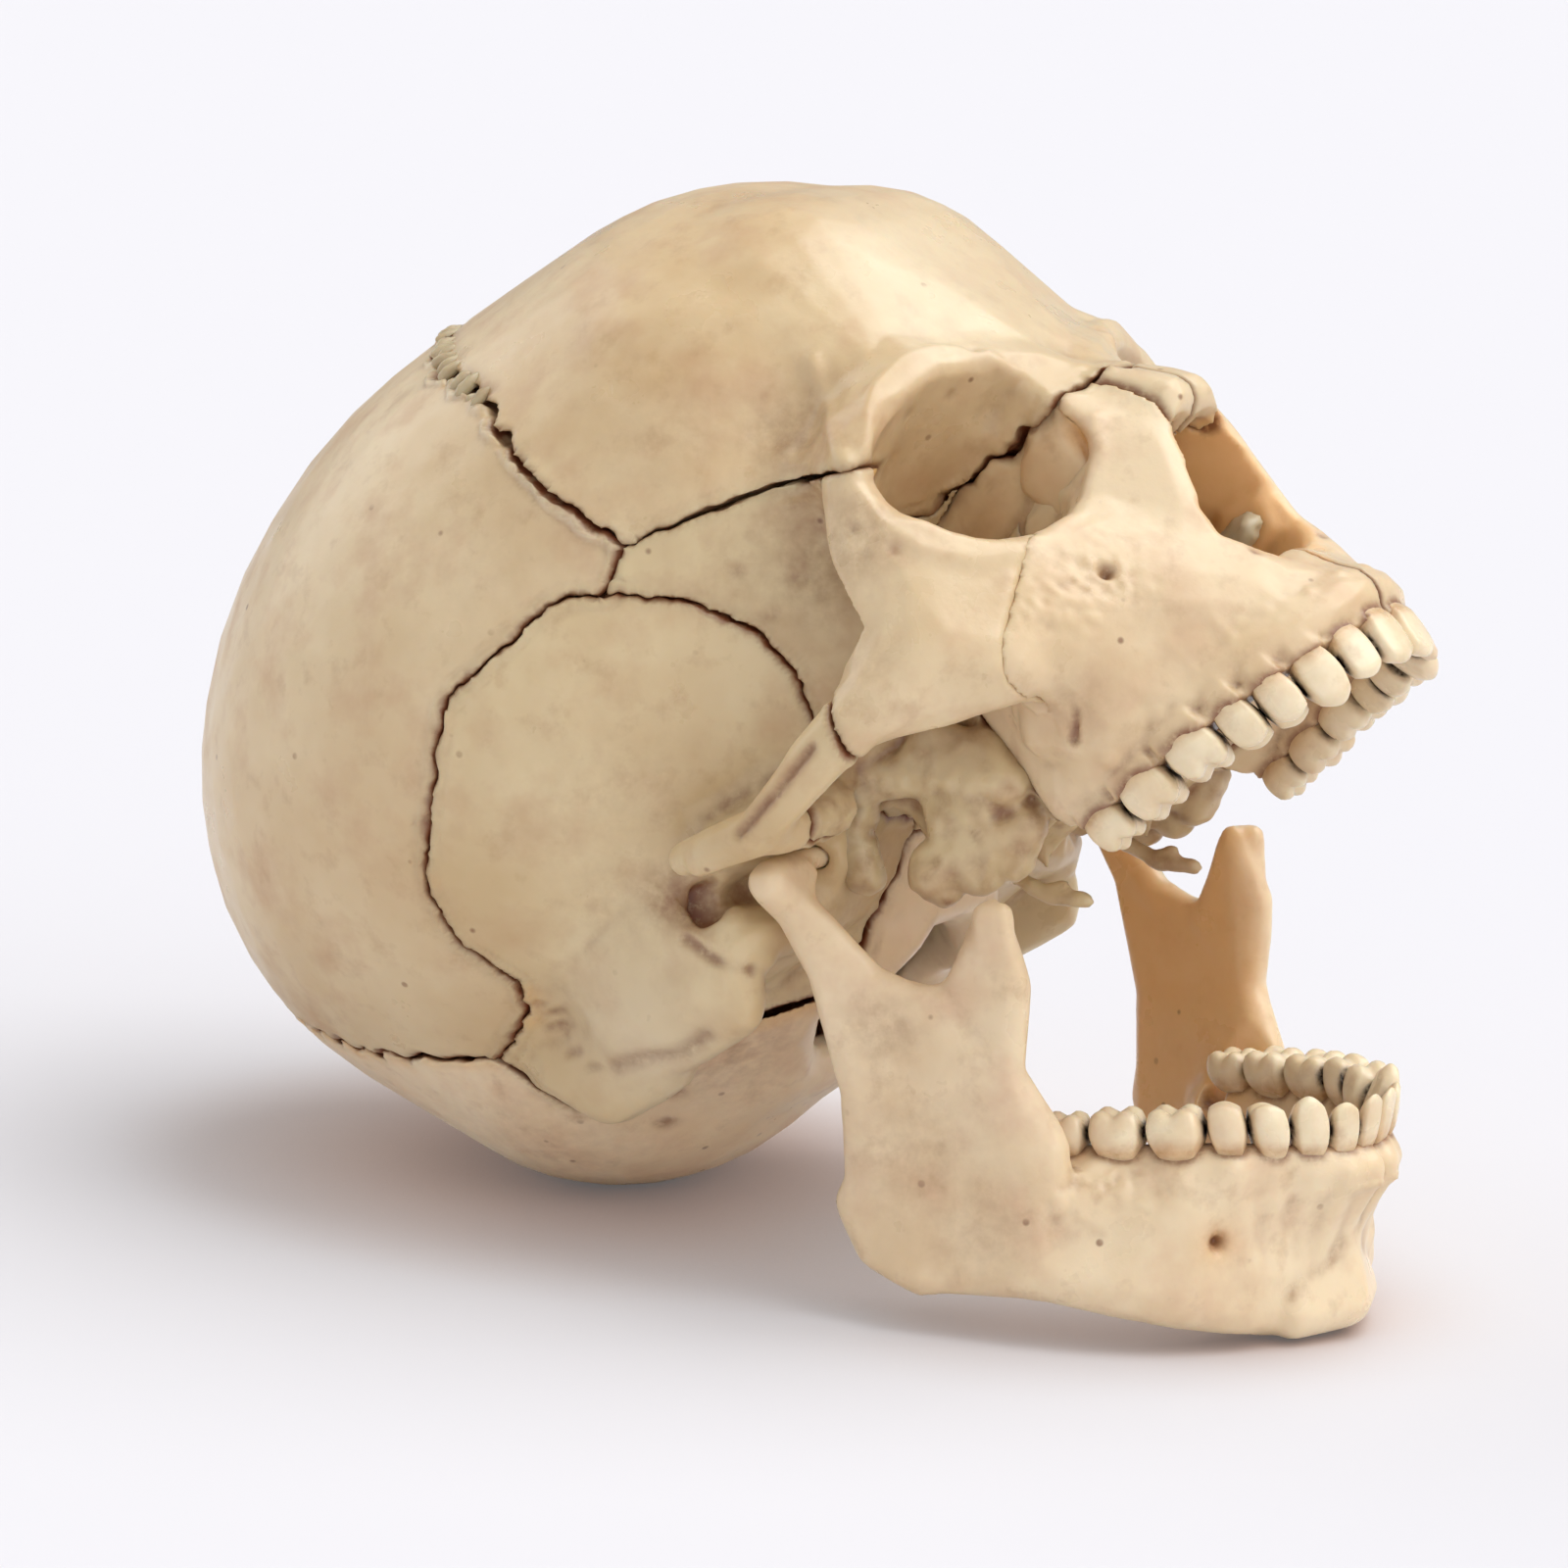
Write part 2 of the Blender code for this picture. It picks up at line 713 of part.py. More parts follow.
def region(parts, inset, sides):
    """The cutter of a bone: prisms of (outline, low share, high share) on the given sides, merged."""
    result = None
    for side in sides:
        for points, low_share, high_share in parts:
            low = low_share * Y_SHARE + inset
            high = high_share * Y_SHARE - inset
            shape = prism(drawn_in(points, inset), *sorted((side * low, side * high)))
            result = boolean(result, shape, "UNION") if result else shape
    return result


def carve(stock, name, parts, paired):
    """Takes one bone, or a pair, out of the stock and leaves an open seam. The right one is kept."""
    kept_side = -1 if paired else 1
    piece = region(parts, SEAM_GAP * SEAM_SPLIT_SHARES[0], (kept_side,))
    bone = boolean(mesh_object(name, stock.data.copy()), piece, "INTERSECT")
    outset = -SEAM_GAP * SEAM_SPLIT_SHARES[1]
    if paired and parts[0][1] < MIDLINE_SHARE:
        gone = region([(points, -high, high) for points, low, high in parts], outset, (1,))
    else:
        gone = region(parts, outset, (-1, 1) if paired else (1,))
    stock = boolean(stock, gone, "DIFFERENCE")
    bone.name = name
    return stock, keep_one_body(bone)


# Of a seam's gap, the first share is taken from the bone carved first, the second from its neighbour
SEAM_SPLIT_SHARES = (0.4, 0.6)
MIDLINE_SHARE = 0.01  # a bone that starts nearer the midline than this meets its twin there

CORONAL_SHARES = ((0.12, 1.10), (0.20, 0.92), (0.28, 0.79), (0.29, 0.67), (0.31, 0.55), (0.34, 0.42))
SPHENOFRONTAL_SHARES = ((0.47, 0.36), (0.55, 0.32), (0.645, 0.262))
SQUAMOSAL_SHARES = (
    (0.27, 0.38),
    (0.22, 0.42),
    (0.16, 0.435),
    (0.07, 0.435),
    (-0.03, 0.44),
    (-0.11, 0.39),
    (-0.23, 0.32),
    (-0.30, 0.27),
    (-0.35, 0.19),
    (-0.35, 0.09),
    (-0.40, 0.06),
    (-0.52, 0.06),
)
LAMBDOID_SHARES = (
    (-0.62, 0.15),
    (-0.72, 0.24),
    (-0.82, 0.37),
    (-0.93, 0.51),
    (-1.02, 0.70),
    (-1.30, 0.95),
)
WIDE_SHARE = 0.90


def skull_regions():
    """The bones in the order in which they are carved: name, prisms, and whether one of a pair."""
    frontal_shares = CORONAL_SHARES + SPHENOFRONTAL_SHARES
    frontal_shares += ((0.715, 0.215), (0.80, 0.190), (0.93, 0.175), (1.20, 0.21), (1.20, 1.40), (0.12, 1.40))
    socket_roof_shares = (
        (0.50, 0.40), (0.53, 0.23), (0.575, 0.205), (0.62, 0.205), (0.66, 0.190), (0.70, 0.190),
        (0.74, 0.172), (0.78, 0.178), (0.81, 0.160), (0.84, 0.160), (0.87, 0.175), (0.93, 0.170),
        (0.93, 0.30), (0.70, 0.40),
    )
    parietal_shares = CORONAL_SHARES[::-1] + ((0.12, 1.40), (-1.30, 1.40))
    parietal_shares += LAMBDOID_SHARES[::-1] + SQUAMOSAL_SHARES[::-1]
    occipital_shares = ((-1.30, 0.95),) + LAMBDOID_SHARES[-2::-1]
    occipital_shares += (
        (-0.52, 0.06), (-0.30, 0.04), (0.00, 0.04), (0.17, 0.08), (0.19, -0.30), (0.00, -0.60),
        (-1.30, -0.60),
    )
    squama_shares = SQUAMOSAL_SHARES + (
        (-0.52, -0.02), (-0.30, -0.04), (-0.22, -0.16), (0.05, -0.30), (0.14, -0.22), (0.20, -0.14),
        (0.26, -0.06), (0.31, 0.03), (0.36, 0.10), (0.37, 0.18), (0.35, 0.27),
    )
    mastoid_shares = (
        (-0.52, 0.04), (-0.53, -0.04), (-0.51, -0.12), (-0.46, -0.165), (-0.33, -0.20),
        (-0.10, -0.34), (0.02, -0.34), (0.02, 0.04),
    )
    arch_shares = (
        (0.00, 0.07), (0.30, 0.07), (0.475, 0.03), (0.475, 0.00), (0.425, -0.115), (0.41, -0.17),
        (0.00, -0.17),
    )
    zygomatic_shares = (
        (0.645, 0.262), (0.715, 0.215), (0.80, 0.10), (0.80, 0.01), (0.765, -0.02), (0.73, -0.07),
        (0.645, -0.170), (0.590, -0.270), (0.46, -0.235), (0.425, -0.115), (0.475, 0.00), (0.560, 0.03),
        (0.585, 0.20),
    )
    nasal_shares = ((0.86, 0.24), (1.20, 0.24), (1.20, -0.06), (0.93, -0.06))
    ethmoid_shares = ((0.50, 0.23), (0.78, 0.23), (0.78, 0.04), (0.50, 0.04))
    plate_shares = ((0.60, 0.07), (0.60, -0.02), (0.87, -0.16), (0.88, 0.07))
    lacrimal_shares = ((0.78, 0.24), (0.850, 0.24), (0.845, 0.06), (0.78, 0.06))
    vomer_shares = ((0.38, -0.06), (0.60, -0.02), (0.87, -0.16), (0.88, -0.222), (0.38, -0.222))
    concha_shares = ((0.55, -0.085), (0.90, -0.085), (0.90, -0.185), (0.55, -0.185))
    palatine_shares = ((0.445, -0.02), (0.505, -0.02), (0.545, -0.20), (0.545, -0.60), (0.445, -0.60))
    maxilla_shares = (
        (0.46, -0.60), (1.30, -0.60), (1.30, 0.24), (0.78, 0.24), (0.62, 0.00), (0.50, -0.04),
        (0.475, -0.12), (0.46, -0.30),
    )
    temporal_parts = (
        (outline(squama_shares), 0.20, WIDE_SHARE),
        (outline(mastoid_shares), 0.385, WIDE_SHARE),
        (outline(arch_shares), 0.545, WIDE_SHARE),
    )
    frontal_parts = (
        (outline(frontal_shares, (0, 1, 2)), -WIDE_SHARE, WIDE_SHARE),
        (outline(socket_roof_shares), -0.39, 0.39),
    )
    ethmoid_parts = (
        (outline(ethmoid_shares), -0.145, 0.145),
        (outline(plate_shares), -0.03, 0.03),
    )
    toothed_corners = (2, 3, 4, 9, 10, 11, 12)
    return (
        ("zygomatic", ((outline(zygomatic_shares), 0.335, WIDE_SHARE),), True),
        ("temporal", temporal_parts, True),
        ("frontal", frontal_parts, False),
        ("parietal", ((outline(parietal_shares, toothed_corners), -WIDE_SHARE, WIDE_SHARE),), False),
        ("occipital", ((outline(occipital_shares, (1, 2, 3, 4, 5)), -WIDE_SHARE, WIDE_SHARE),), False),
        ("nasal", ((outline(nasal_shares), 0.002, 0.078),), True),
        ("vomer", ((outline(vomer_shares), -0.03, 0.03),), False),
        ("concha", ((outline(concha_shares), 0.03, 0.10),), True),
        ("ethmoid", ethmoid_parts, False),
        ("lacrimal", ((outline(lacrimal_shares), 0.09, 0.22),), True),
        ("palatine", ((outline(palatine_shares), 0.002, 0.215),), True),
        ("maxilla", ((outline(maxilla_shares), 0.002, WIDE_SHARE),), True),
    )


def carved_bones():
    """Every bone of the cranium by name. Of each pair only the right one is here."""
    stock = cranium_stock()
    bones = {}
    for name, parts, paired in skull_regions():
        stock, bones[name] = carve(stock, name, parts, paired)
    bones["sphenoid"] = keep_one_body(stock)
    return bones


# Widths of the crowns from the middle of the arch to its back, as shares of the half arch, what
# share of its width each crown is deep, and its height as a share of the front crown's
CROWN_WIDTH_SHARES = (0.125, 0.105, 0.120, 0.110, 0.110, 0.155, 0.150, 0.125)
CROWN_DEPTH_SHARES = (0.60, 0.65, 0.95, 1.20, 1.20, 1.05, 1.05, 1.00)
CROWN_HEIGHT_SHARES = (1.00, 0.94, 1.02, 0.88, 0.80, 0.74, 0.70, 0.62)
# Levels of a crown: height, width and depth, as shares of the crown's, for front and back teeth
FRONT_LEVEL_SHARES = ((-0.60, 0.60, 1.00), (0.25, 1.00, 1.00), (1.00, 0.94, 0.30))
BACK_LEVEL_SHARES = ((-0.60, 0.70, 0.90), (0.30, 1.00, 1.00), (1.00, 0.88, 0.72))
CROWN_ROUND_SHARE = 0.17
CROWN_BLOCK_SHARE = 1.4
FRONT_TEETH = 3


def crown_places(arch_shares):
    """Middle, outward direction and direction along the arch of each crown of half a jaw."""
    path = [place(share) for share in arch_shares]
    lengths = [(b - a).length for a, b in zip(path, path[1:])]
    scale = sum(lengths) / sum(CROWN_WIDTH_SHARES)
    reach = 0.0
    result = []
    for width_share in CROWN_WIDTH_SHARES:
        middle = reach + width_share * scale / 2
        reach += width_share * scale
        index = 0
        while middle > lengths[index] and index < len(lengths) - 1:
            middle -= lengths[index]
            index += 1
        along = (path[index + 1] - path[index]).normalized()
        outward = Vector((-along.y, along.x, 0)).normalized() * -1
        result.append((path[index] + along * middle, outward, along, width_share * scale))
    return result


def add_crowns(bm, arch_shares, rise):
    """The crowns of the left half of a jaw, each one hull that flares towards its biting edge."""
    for index, (spot, outward, along, width) in enumerate(crown_places(arch_shares)):
        half = width / 2
        depth = half * CROWN_DEPTH_SHARES[index]
        height = rise * CROWN_HEIGHT_SHARES[index]
        ball = width * CROWN_ROUND_SHARE
        hull = bmesh.new()
        for level, spread, deep in FRONT_LEVEL_SHARES if index < FRONT_TEETH else BACK_LEVEL_SHARES:
            for across in (-1, 1):
                for inward in (-1, 1):
                    aside = along * across * max(0, half * spread - ball)
                    aside += outward * inward * max(0, depth * deep - ball)
                    lift = Vector((0, 0, height * level - math.copysign(ball * (level > 0), rise)))
                    shape = Matrix.Translation(spot + aside + lift)
                    bmesh.ops.create_cube(hull, size=ball * CROWN_BLOCK_SHARE, matrix=shape)
        wrap(hull, bm)


# The lower jaw, drawn with the teeth closed


def add_jaw(bm):
    stations_shares = (
        ((0.38, 0.360, -0.640, 0.045), (0.30, 0.430, -0.740, 0.042)),
        ((0.47, 0.320, -0.660, 0.046), (0.44, 0.395, -0.762, 0.046)),
        ((0.58, 0.280, -0.665, 0.046), (0.55, 0.335, -0.808, 0.050)),
        ((0.69, 0.230, -0.670, 0.044), (0.63, 0.265, -0.846, 0.052)),
        ((0.755, 0.165, -0.685, 0.042), (0.685, 0.180, -0.873, 0.056)),
        ((0.790, 0.080, -0.705, 0.042), (0.705, 0.080, -0.891, 0.060)),
        ((0.798, 0.000, -0.710, 0.042), (0.710, 0.000, -0.886, 0.062)),
    )
    for first, second in zip(stations_shares, stations_shares[1:]):
        add_pair(bm, first + second)
    back_share, narrower_share, drop_share, gum_share = 0.03, 0.96, 0.035, 0.040
    gum = [(x - back_share, y * narrower_share, z - drop_share, gum_share) for x, y, z in LOWER_ARCH_SHARES]
    add_chain(bm, gum)
    ramus_shares = (
        (0.205, 0.495, -0.24, 0.026),
        (0.225, 0.480, -0.45, 0.028),
        (0.460, 0.405, -0.45, 0.032),
        (0.41, 0.420, -0.34, 0.024),
        (0.31, 0.455, -0.305, 0.022),
    )
    add_pair(bm, ramus_shares)
    coronoid_shares = (
        (0.478, 0.400, -0.190, 0.026),
        (0.38, 0.425, -0.34, 0.024),
        (0.508, 0.405, -0.31, 0.026),
        (0.46, 0.405, -0.45, 0.032),
    )
    add_pair(bm, coronoid_shares)
    neck_shares = (
        (0.170, 0.500, -0.130, 0.034),
        (0.205, 0.495, -0.24, 0.030),
        (0.30, 0.455, -0.305, 0.026),
    )
    add_pair(bm, neck_shares)
    condyle_shares = (
        (0.166, 0.540, -0.100, 0.040),
        (0.158, 0.450, -0.100, 0.040),
        (0.170, 0.500, -0.14, 0.034),
    )
    add_pair(bm, condyle_shares)
    angle_shares = (
        (0.225, 0.480, -0.45, 0.028),
        (0.195, 0.468, -0.655, 0.032),
        (0.285, 0.452, -0.745, 0.034),
        (0.45, 0.395, -0.765, 0.040),
        (0.49, 0.365, -0.58, 0.045),
        (0.46, 0.405, -0.45, 0.032),
    )
    add_pair(bm, angle_shares)
    flare_shares = (
        (0.18, 0.478, -0.62, 0.026),
        (0.20, 0.470, -0.70, 0.030),
        (0.285, 0.462, -0.760, 0.030),
    )
    add_chain(bm, flare_shares)
    chin_shares = (
        (0.715, 0.06, -0.868, 0.055),
        (0.725, 0.0, -0.868, 0.055),
        (0.70, 0.0, -0.905, 0.055),
    )
    add_pair(bm, chin_shares)


def jaw_stock():
    bm = bmesh.new()
    add_jaw(bm)
    smoothing = FACE_SMOOTHING * FINE_SMOOTHING_SHARE
    return keep_one_body(merge_and_round(finish_bmesh(bm, "jaw"), smoothing, 3, JAW_FACES))


# Joining and posing


def join_crowns(jaw, arch_shares, rise, sides):
    """Fuses the tooth crowns to a jaw bone, on the given sides."""
    for side in sides:
        bm = bmesh.new()
        add_crowns(bm, arch_shares, rise)
        if side < 0:
            bmesh.ops.scale(bm, verts=bm.verts[:], vec=(1, -1, 1))
            bmesh.ops.reverse_faces(bm, faces=bm.faces[:])
        jaw = boolean(jaw, finish_bmesh(bm, "crowns"), "UNION", overlapping=True)
    return keep_one_body(jaw)


def crosswise_rod(middle, start, end, radius):
    """A rod along the breadth, from start to end, through a point given as (length, height)."""
    bm = bmesh.new()
    turn = Matrix.Rotation(math.radians(90), 4, "X")
    where = Matrix.Translation((middle[0], (start + end) / 2, middle[1]))
    bmesh.ops.create_cone(
        bm,
        cap_ends=True,
        segments=ROD_SIDES,
        radius1=radius,
        radius2=radius,
        depth=abs(end - start),
        matrix=where @ turn,
    )
    return finish_bmesh(bm, "rod")


ROD_SIDES = 16
SAGITTAL_ENDS_SHARES = (-1.25, 0.35)
SAGITTAL_HEIGHTS_SHARES = (0.30, 1.45)
SAGITTAL_PEG_SHARES = (-0.22, -0.62)
RIBBON_SHARE = 0.7  # half the ribbon's width, as a share of the open seam


def sagittal_ribbon():
    """The thin zigzag wall that parts the two parietals."""
    ends = [Vector((share * X_SHARE, 0)) for share in SAGITTAL_ENDS_SHARES]
    line = serrated(*ends, SEAM_TOOTH, SEAM_TOOTH_PITCH) + [ends[1]]
    aside = Vector((0, SEAM_GAP * RIBBON_SHARE))
    bm = bmesh.new()
    low, high = (share * Z_SHARE for share in SAGITTAL_HEIGHTS_SHARES)
    loop = [p + aside for p in line] + [p - aside for p in reversed(line)]
    face = bm.faces.new([bm.verts.new((p.x, p.y, low)) for p in loop])
    moved = bmesh.ops.extrude_face_region(bm, geom=[face])["geom"]
    raised = [v for v in moved if isinstance(v, bmesh.types.BMVert)]
    bmesh.ops.translate(bm, verts=raised, vec=(0, 0, high - low))
    bmesh.ops.recalc_face_normals(bm, faces=bm.faces[:])
    return finish_bmesh(bm, "ribbon")


def crown_height(x_share):
    """Height of the middle of the vault's wall above a place along the midline."""
    x, _, z, length, _, height = VAULT_SHARES[0]
    return (z + height * math.sqrt(1 - ((x_share - x) / length) ** 2)) * Z_SHARE - BONE_WALL / 2


def sum_of_breadths(body):
    return sum(face.calc_center_median().y for face in body)


def split_parietals(both):
    """Parts the two parietals along the sagittal seam and gives them their pegs and sockets."""
    both = boolean(both, sagittal_ribbon(), "DIFFERENCE")
    halves = {}
    for name, side in (("parietal_right", -1), ("parietal_left", 1)):
        half = mesh_object(name, both.data.copy())
        halves[name] = keep_one_body(half, lambda body: side * sum_of_breadths(body) > 0)
    remove(both)
    for share in SAGITTAL_PEG_SHARES:
        spot = (share * X_SHARE, crown_height(share))
        peg = crosswise_rod(spot, -SEAM_TOOTH - PEG_REACH, PEG_REACH, PEG_RADIUS)
        socket = crosswise_rod(spot, -SEAM_GAP, PEG_REACH + PEG_CLEARANCE, PEG_RADIUS + PEG_CLEARANCE)
        halves["parietal_right"] = boolean(halves["parietal_right"], peg, "UNION")
        halves["parietal_left"] = boolean(halves["parietal_left"], socket, "DIFFERENCE")
    return halves


def twin(thing, name):
    """The left bone of a pair: the right one mirrored."""
    bm = bmesh.new()
    bm.from_mesh(thing.data)
    bmesh.ops.scale(bm, verts=bm.verts[:], vec=(1, -1, 1))
    bmesh.ops.reverse_faces(bm, faces=bm.faces[:])
    return finish_bmesh(bm, name)


def tip_back():
    """Turn of the cranium on the table."""
    return Matrix.Rotation(-math.radians(TIP_BACK), 3, "Y")


def jaw_turn(degrees):
    """Place of the jaw in the cranium's frame when it is open by an angle."""
    x_share, z_share = JAW_TURN_CENTRE_SHARES
    centre = Vector((x_share * X_SHARE, 0, z_share * Z_SHARE))
    turn = Matrix.Rotation(math.radians(degrees), 4, "Y")
    return Matrix.Translation(centre) @ turn @ Matrix.Translation(-centre)


def heights_above_table(thing, pose):
    points = np.empty(len(thing.data.vertices) * 3)
    thing.data.vertices.foreach_get("co", points)
    matrix = np.array(pose)
    return points.reshape(-1, 3) @ matrix[:3, :3].T + matrix[:3, 3]


def table_pose(occipital):
    """Place of the cranium: tipped back, with the lowest part of the occipital just under the table."""
    turn = tip_back().to_4x4()
    points = heights_above_table(occipital, turn)
    low = points[:, 2].min()
    land = points[points[:, 2] < low + REST_LAND_DEPTH]
    middle = (land[:, 0].min() + land[:, 0].max()) / 2
    return Matrix.Translation((-middle, 0, -low - REST_LAND_DEPTH)) @ turn


def chin_opening(jaw, cranium_pose):
    """How far the jaw hangs open when its chin reaches as far under the table as the occipital."""
    less, more = JAW_SWING_LIMITS
    for _ in range(24):
        middle = (less + more) / 2
        low = heights_above_table(jaw, cranium_pose @ jaw_turn(middle))[:, 2].min()
        if low > -REST_LAND_DEPTH:
            less = middle
        else:
            more = middle
    return (less + more) / 2


def flatten_base(thing, pose):
    """Cuts the flat on which a bone rests on the table."""
    reach = SKULL_LENGTH * TABLE_REACH_SHARE
    bm = bmesh.new()
    below = Matrix.Translation((0, 0, -reach / 2))
    bmesh.ops.create_cube(bm, size=reach, matrix=pose.inverted() @ below)
    return keep_one_body(boolean(thing, finish_bmesh(bm, "table"), "DIFFERENCE"))


def plastic(name, colour):
    """Moulded bone-coloured plastic."""
    material = bpy.data.materials.new(name)
    material.use_nodes = True
    shader = material.node_tree.nodes["Principled BSDF"]
    shader.inputs["Base Color"].default_value = (*colour, 1)
    shader.inputs["Roughness"].default_value = 0.42
    shader.inputs["Metallic"].default_value = 0
    return material


BONE_COLOURS = {
    "frontal": (0.72, 0.60, 0.41),
    "parietal": (0.70, 0.59, 0.41),
    "occipital": (0.66, 0.54, 0.37),
    "temporal": (0.66, 0.57, 0.40),
    "sphenoid": (0.56, 0.48, 0.34),
    "zygomatic": (0.72, 0.61, 0.43),
    "maxilla": (0.70, 0.58, 0.42),
    "nasal": (0.68, 0.57, 0.41),
    "lacrimal": (0.62, 0.50, 0.33),
    "ethmoid": (0.58, 0.46, 0.31),
    "vomer": (0.58, 0.46, 0.31),
    "palatine": (0.60, 0.49, 0.33),
    "concha": (0.55, 0.47, 0.33),
    "mandible": (0.71, 0.59, 0.41),
}


def dress(thing, name, pose, shift=None):
    """Names a bone, gives it its plastic and hangs it on the empty that carries it."""
    thing.name = name
    thing.data.name = name
    thing.data.materials.clear()
    thing.data.materials.append(plastic(name + "_plastic", BONE_COLOURS[name.split("_")[0]]))
    thing.data.shade_smooth()
    thing.data.set_sharp_from_angle(angle=math.radians(40))
    if shift:
        thing.data.transform(Matrix.Translation(shift))
    thing.parent = pose


def pose_empty(name, matrix):
    empty = bpy.data.objects.new(name, None)
    bpy.context.scene.collection.objects.link(empty)
    empty.matrix_world = matrix
    return empty


def build_skull():
    clear_scene()
    bones = carved_bones()
    bones["maxilla"] = join_crowns(bones["maxilla"], UPPER_ARCH_SHARES, -UPPER_CROWN_DROP, (-1,))
    jaw = join_crowns(jaw_stock(), LOWER_ARCH_SHARES, LOWER_CROWN_RISE, (-1, 1))

    cranium = table_pose(bones["occipital"])
    bones["occipital"] = flatten_base(bones["occipital"], cranium)
    opening = chin_opening(jaw, cranium)
    jaw_place = jaw_turn(opening)
    jaw = flatten_base(jaw, cranium @ jaw_place)

    pivot = Vector((PIVOT_SHARES[0] * X_SHARE, 0, PIVOT_SHARES[1] * Z_SHARE))
    pivot_on_jaw = jaw_place.inverted() @ pivot
    condyle_inside = CONDYLE_MIDDLE_SHARE * Y_SHARE
    socket_wall = SOCKET_WALL_SHARE * Y_SHARE
    for side in (-1, 1):
        spot = (pivot_on_jaw.x, pivot_on_jaw.z)
        peg = crosswise_rod(spot, side * condyle_inside, side * (socket_wall - PIVOT_REACH), PIVOT_RADIUS)
        jaw = boolean(jaw, peg, "UNION")
    bore_end = socket_wall - PIVOT_REACH - PIVOT_CLEARANCE
    bore = crosswise_rod((pivot.x, pivot.z), -condyle_inside, -bore_end, PIVOT_RADIUS + PIVOT_CLEARANCE)
    bones["temporal"] = keep_one_body(boolean(bones["temporal"], bore, "DIFFERENCE"))

    cranium_empty = pose_empty("cranium_pose", cranium)
    for name, half in split_parietals(bones.pop("parietal")).items():
        dress(half, name, cranium_empty)
    for name, bone in bones.items():
        if name in PAIRED_BONES:
            dress(twin(bone, name + "_left"), name + "_left", cranium_empty)
            dress(bone, name + "_right", cranium_empty)
        else:
            dress(bone, name, cranium_empty)
    net_turn = Matrix.Rotation(math.radians(opening - TIP_BACK), 4, "Y")
    jaw_empty = pose_empty("jaw_pivot", Matrix.Translation(cranium @ pivot) @ net_turn)
    dress(jaw, "mandible", jaw_empty, -pivot_on_jaw)
    print("jaw opening", round(opening, 3), "pivot", [round(v, 6) for v in cranium @ pivot])


PAIRED_BONES = ("zygomatic", "temporal", "nasal", "concha", "lacrimal", "palatine", "maxilla")
CONDYLE_MIDDLE_SHARE = 0.46
SOCKET_WALL_SHARE = 0.38

build_skull()
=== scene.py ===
"""A small teaching skull of separate moulded bones, resting on a pale studio floor."""

import math
import random
from collections import namedtuple

import bmesh
import bpy
import numpy as np
from mathutils import Matrix, Vector, noise
from mathutils.bvhtree import BVHTree


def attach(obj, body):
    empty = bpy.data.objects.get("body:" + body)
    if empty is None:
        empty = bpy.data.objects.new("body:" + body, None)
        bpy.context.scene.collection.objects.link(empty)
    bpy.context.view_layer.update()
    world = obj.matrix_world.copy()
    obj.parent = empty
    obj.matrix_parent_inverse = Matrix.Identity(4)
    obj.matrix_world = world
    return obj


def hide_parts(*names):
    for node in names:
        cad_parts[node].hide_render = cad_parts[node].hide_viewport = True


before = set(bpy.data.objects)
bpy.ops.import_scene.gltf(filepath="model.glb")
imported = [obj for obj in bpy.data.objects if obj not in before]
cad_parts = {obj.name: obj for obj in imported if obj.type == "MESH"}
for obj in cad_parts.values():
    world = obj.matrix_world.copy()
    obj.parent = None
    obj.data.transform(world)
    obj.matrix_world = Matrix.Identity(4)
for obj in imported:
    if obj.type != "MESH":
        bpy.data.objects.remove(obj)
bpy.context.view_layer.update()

# Camera
# Looks a little down on the skull's right side, from ahead of its ear, with a long lens. The frame
# is turned a few degrees, as the photographer held it.
LOOK_AT = Vector((0.0200, -0.0080, 0.0396))
AZIMUTH_DEG = 31.8
ELEVATION_DEG = 11.5
ROLL_DEG = 3.24
CAMERA_DISTANCE = 0.5013
LENS_MM = 134.9

azimuth = math.radians(AZIMUTH_DEG)
elevation = math.radians(ELEVATION_DEG)
level = Vector((math.sin(azimuth), -math.cos(azimuth), 0))
back = level * math.cos(elevation) + Vector((0, 0, math.sin(elevation)))
camera = bpy.data.objects.new("camera", bpy.data.cameras.new("camera"))
bpy.context.scene.collection.objects.link(camera)
camera.location = LOOK_AT + back * CAMERA_DISTANCE
camera.rotation_mode = "QUATERNION"
roll = Matrix.Rotation(math.radians(ROLL_DEG), 3, "Z").to_quaternion()
camera.rotation_quaternion = back.to_track_quat("Z", "Y") @ roll
camera.data.sensor_width = 36
camera.data.lens = LENS_MM
bpy.context.scene.camera = camera
bpy.context.scene.view_settings.view_transform = "Standard"


# Floor, backdrop and light
# A large sheet of white paper. Close to the skull a warm brown shadow is painted on what the camera
# sees of it, darker where the skull shuts out the room. A broad softbox hangs overhead, panels in
# front and at the side fill the shadows, and a strip light picks out the back of the vault.
FLOOR_HALF = 8.0
PAPER = "f8fafd"
PAPER_SHADE = "dddbde"
# the colour and reach of the shadow painted on the paper near the skull
PAPER_PAINTED_SHADOW = "b08c76"
PAINTED_SHADOW_REACH = 0.026
GLOW_SHARE = 0.10
ROOM = "eef0f6"
ROOM_STRENGTH = 0.46


def linear(hex_colour):
    """An sRGB colour written as six hex digits, as linear numbers."""
    parts = [int(hex_colour[i : i + 2], 16) / 255 for i in (0, 2, 4)]
    return tuple(c / 12.92 if c <= 0.04045 else ((c + 0.055) / 1.055) ** 2.4 for c in parts) + (1.0,)


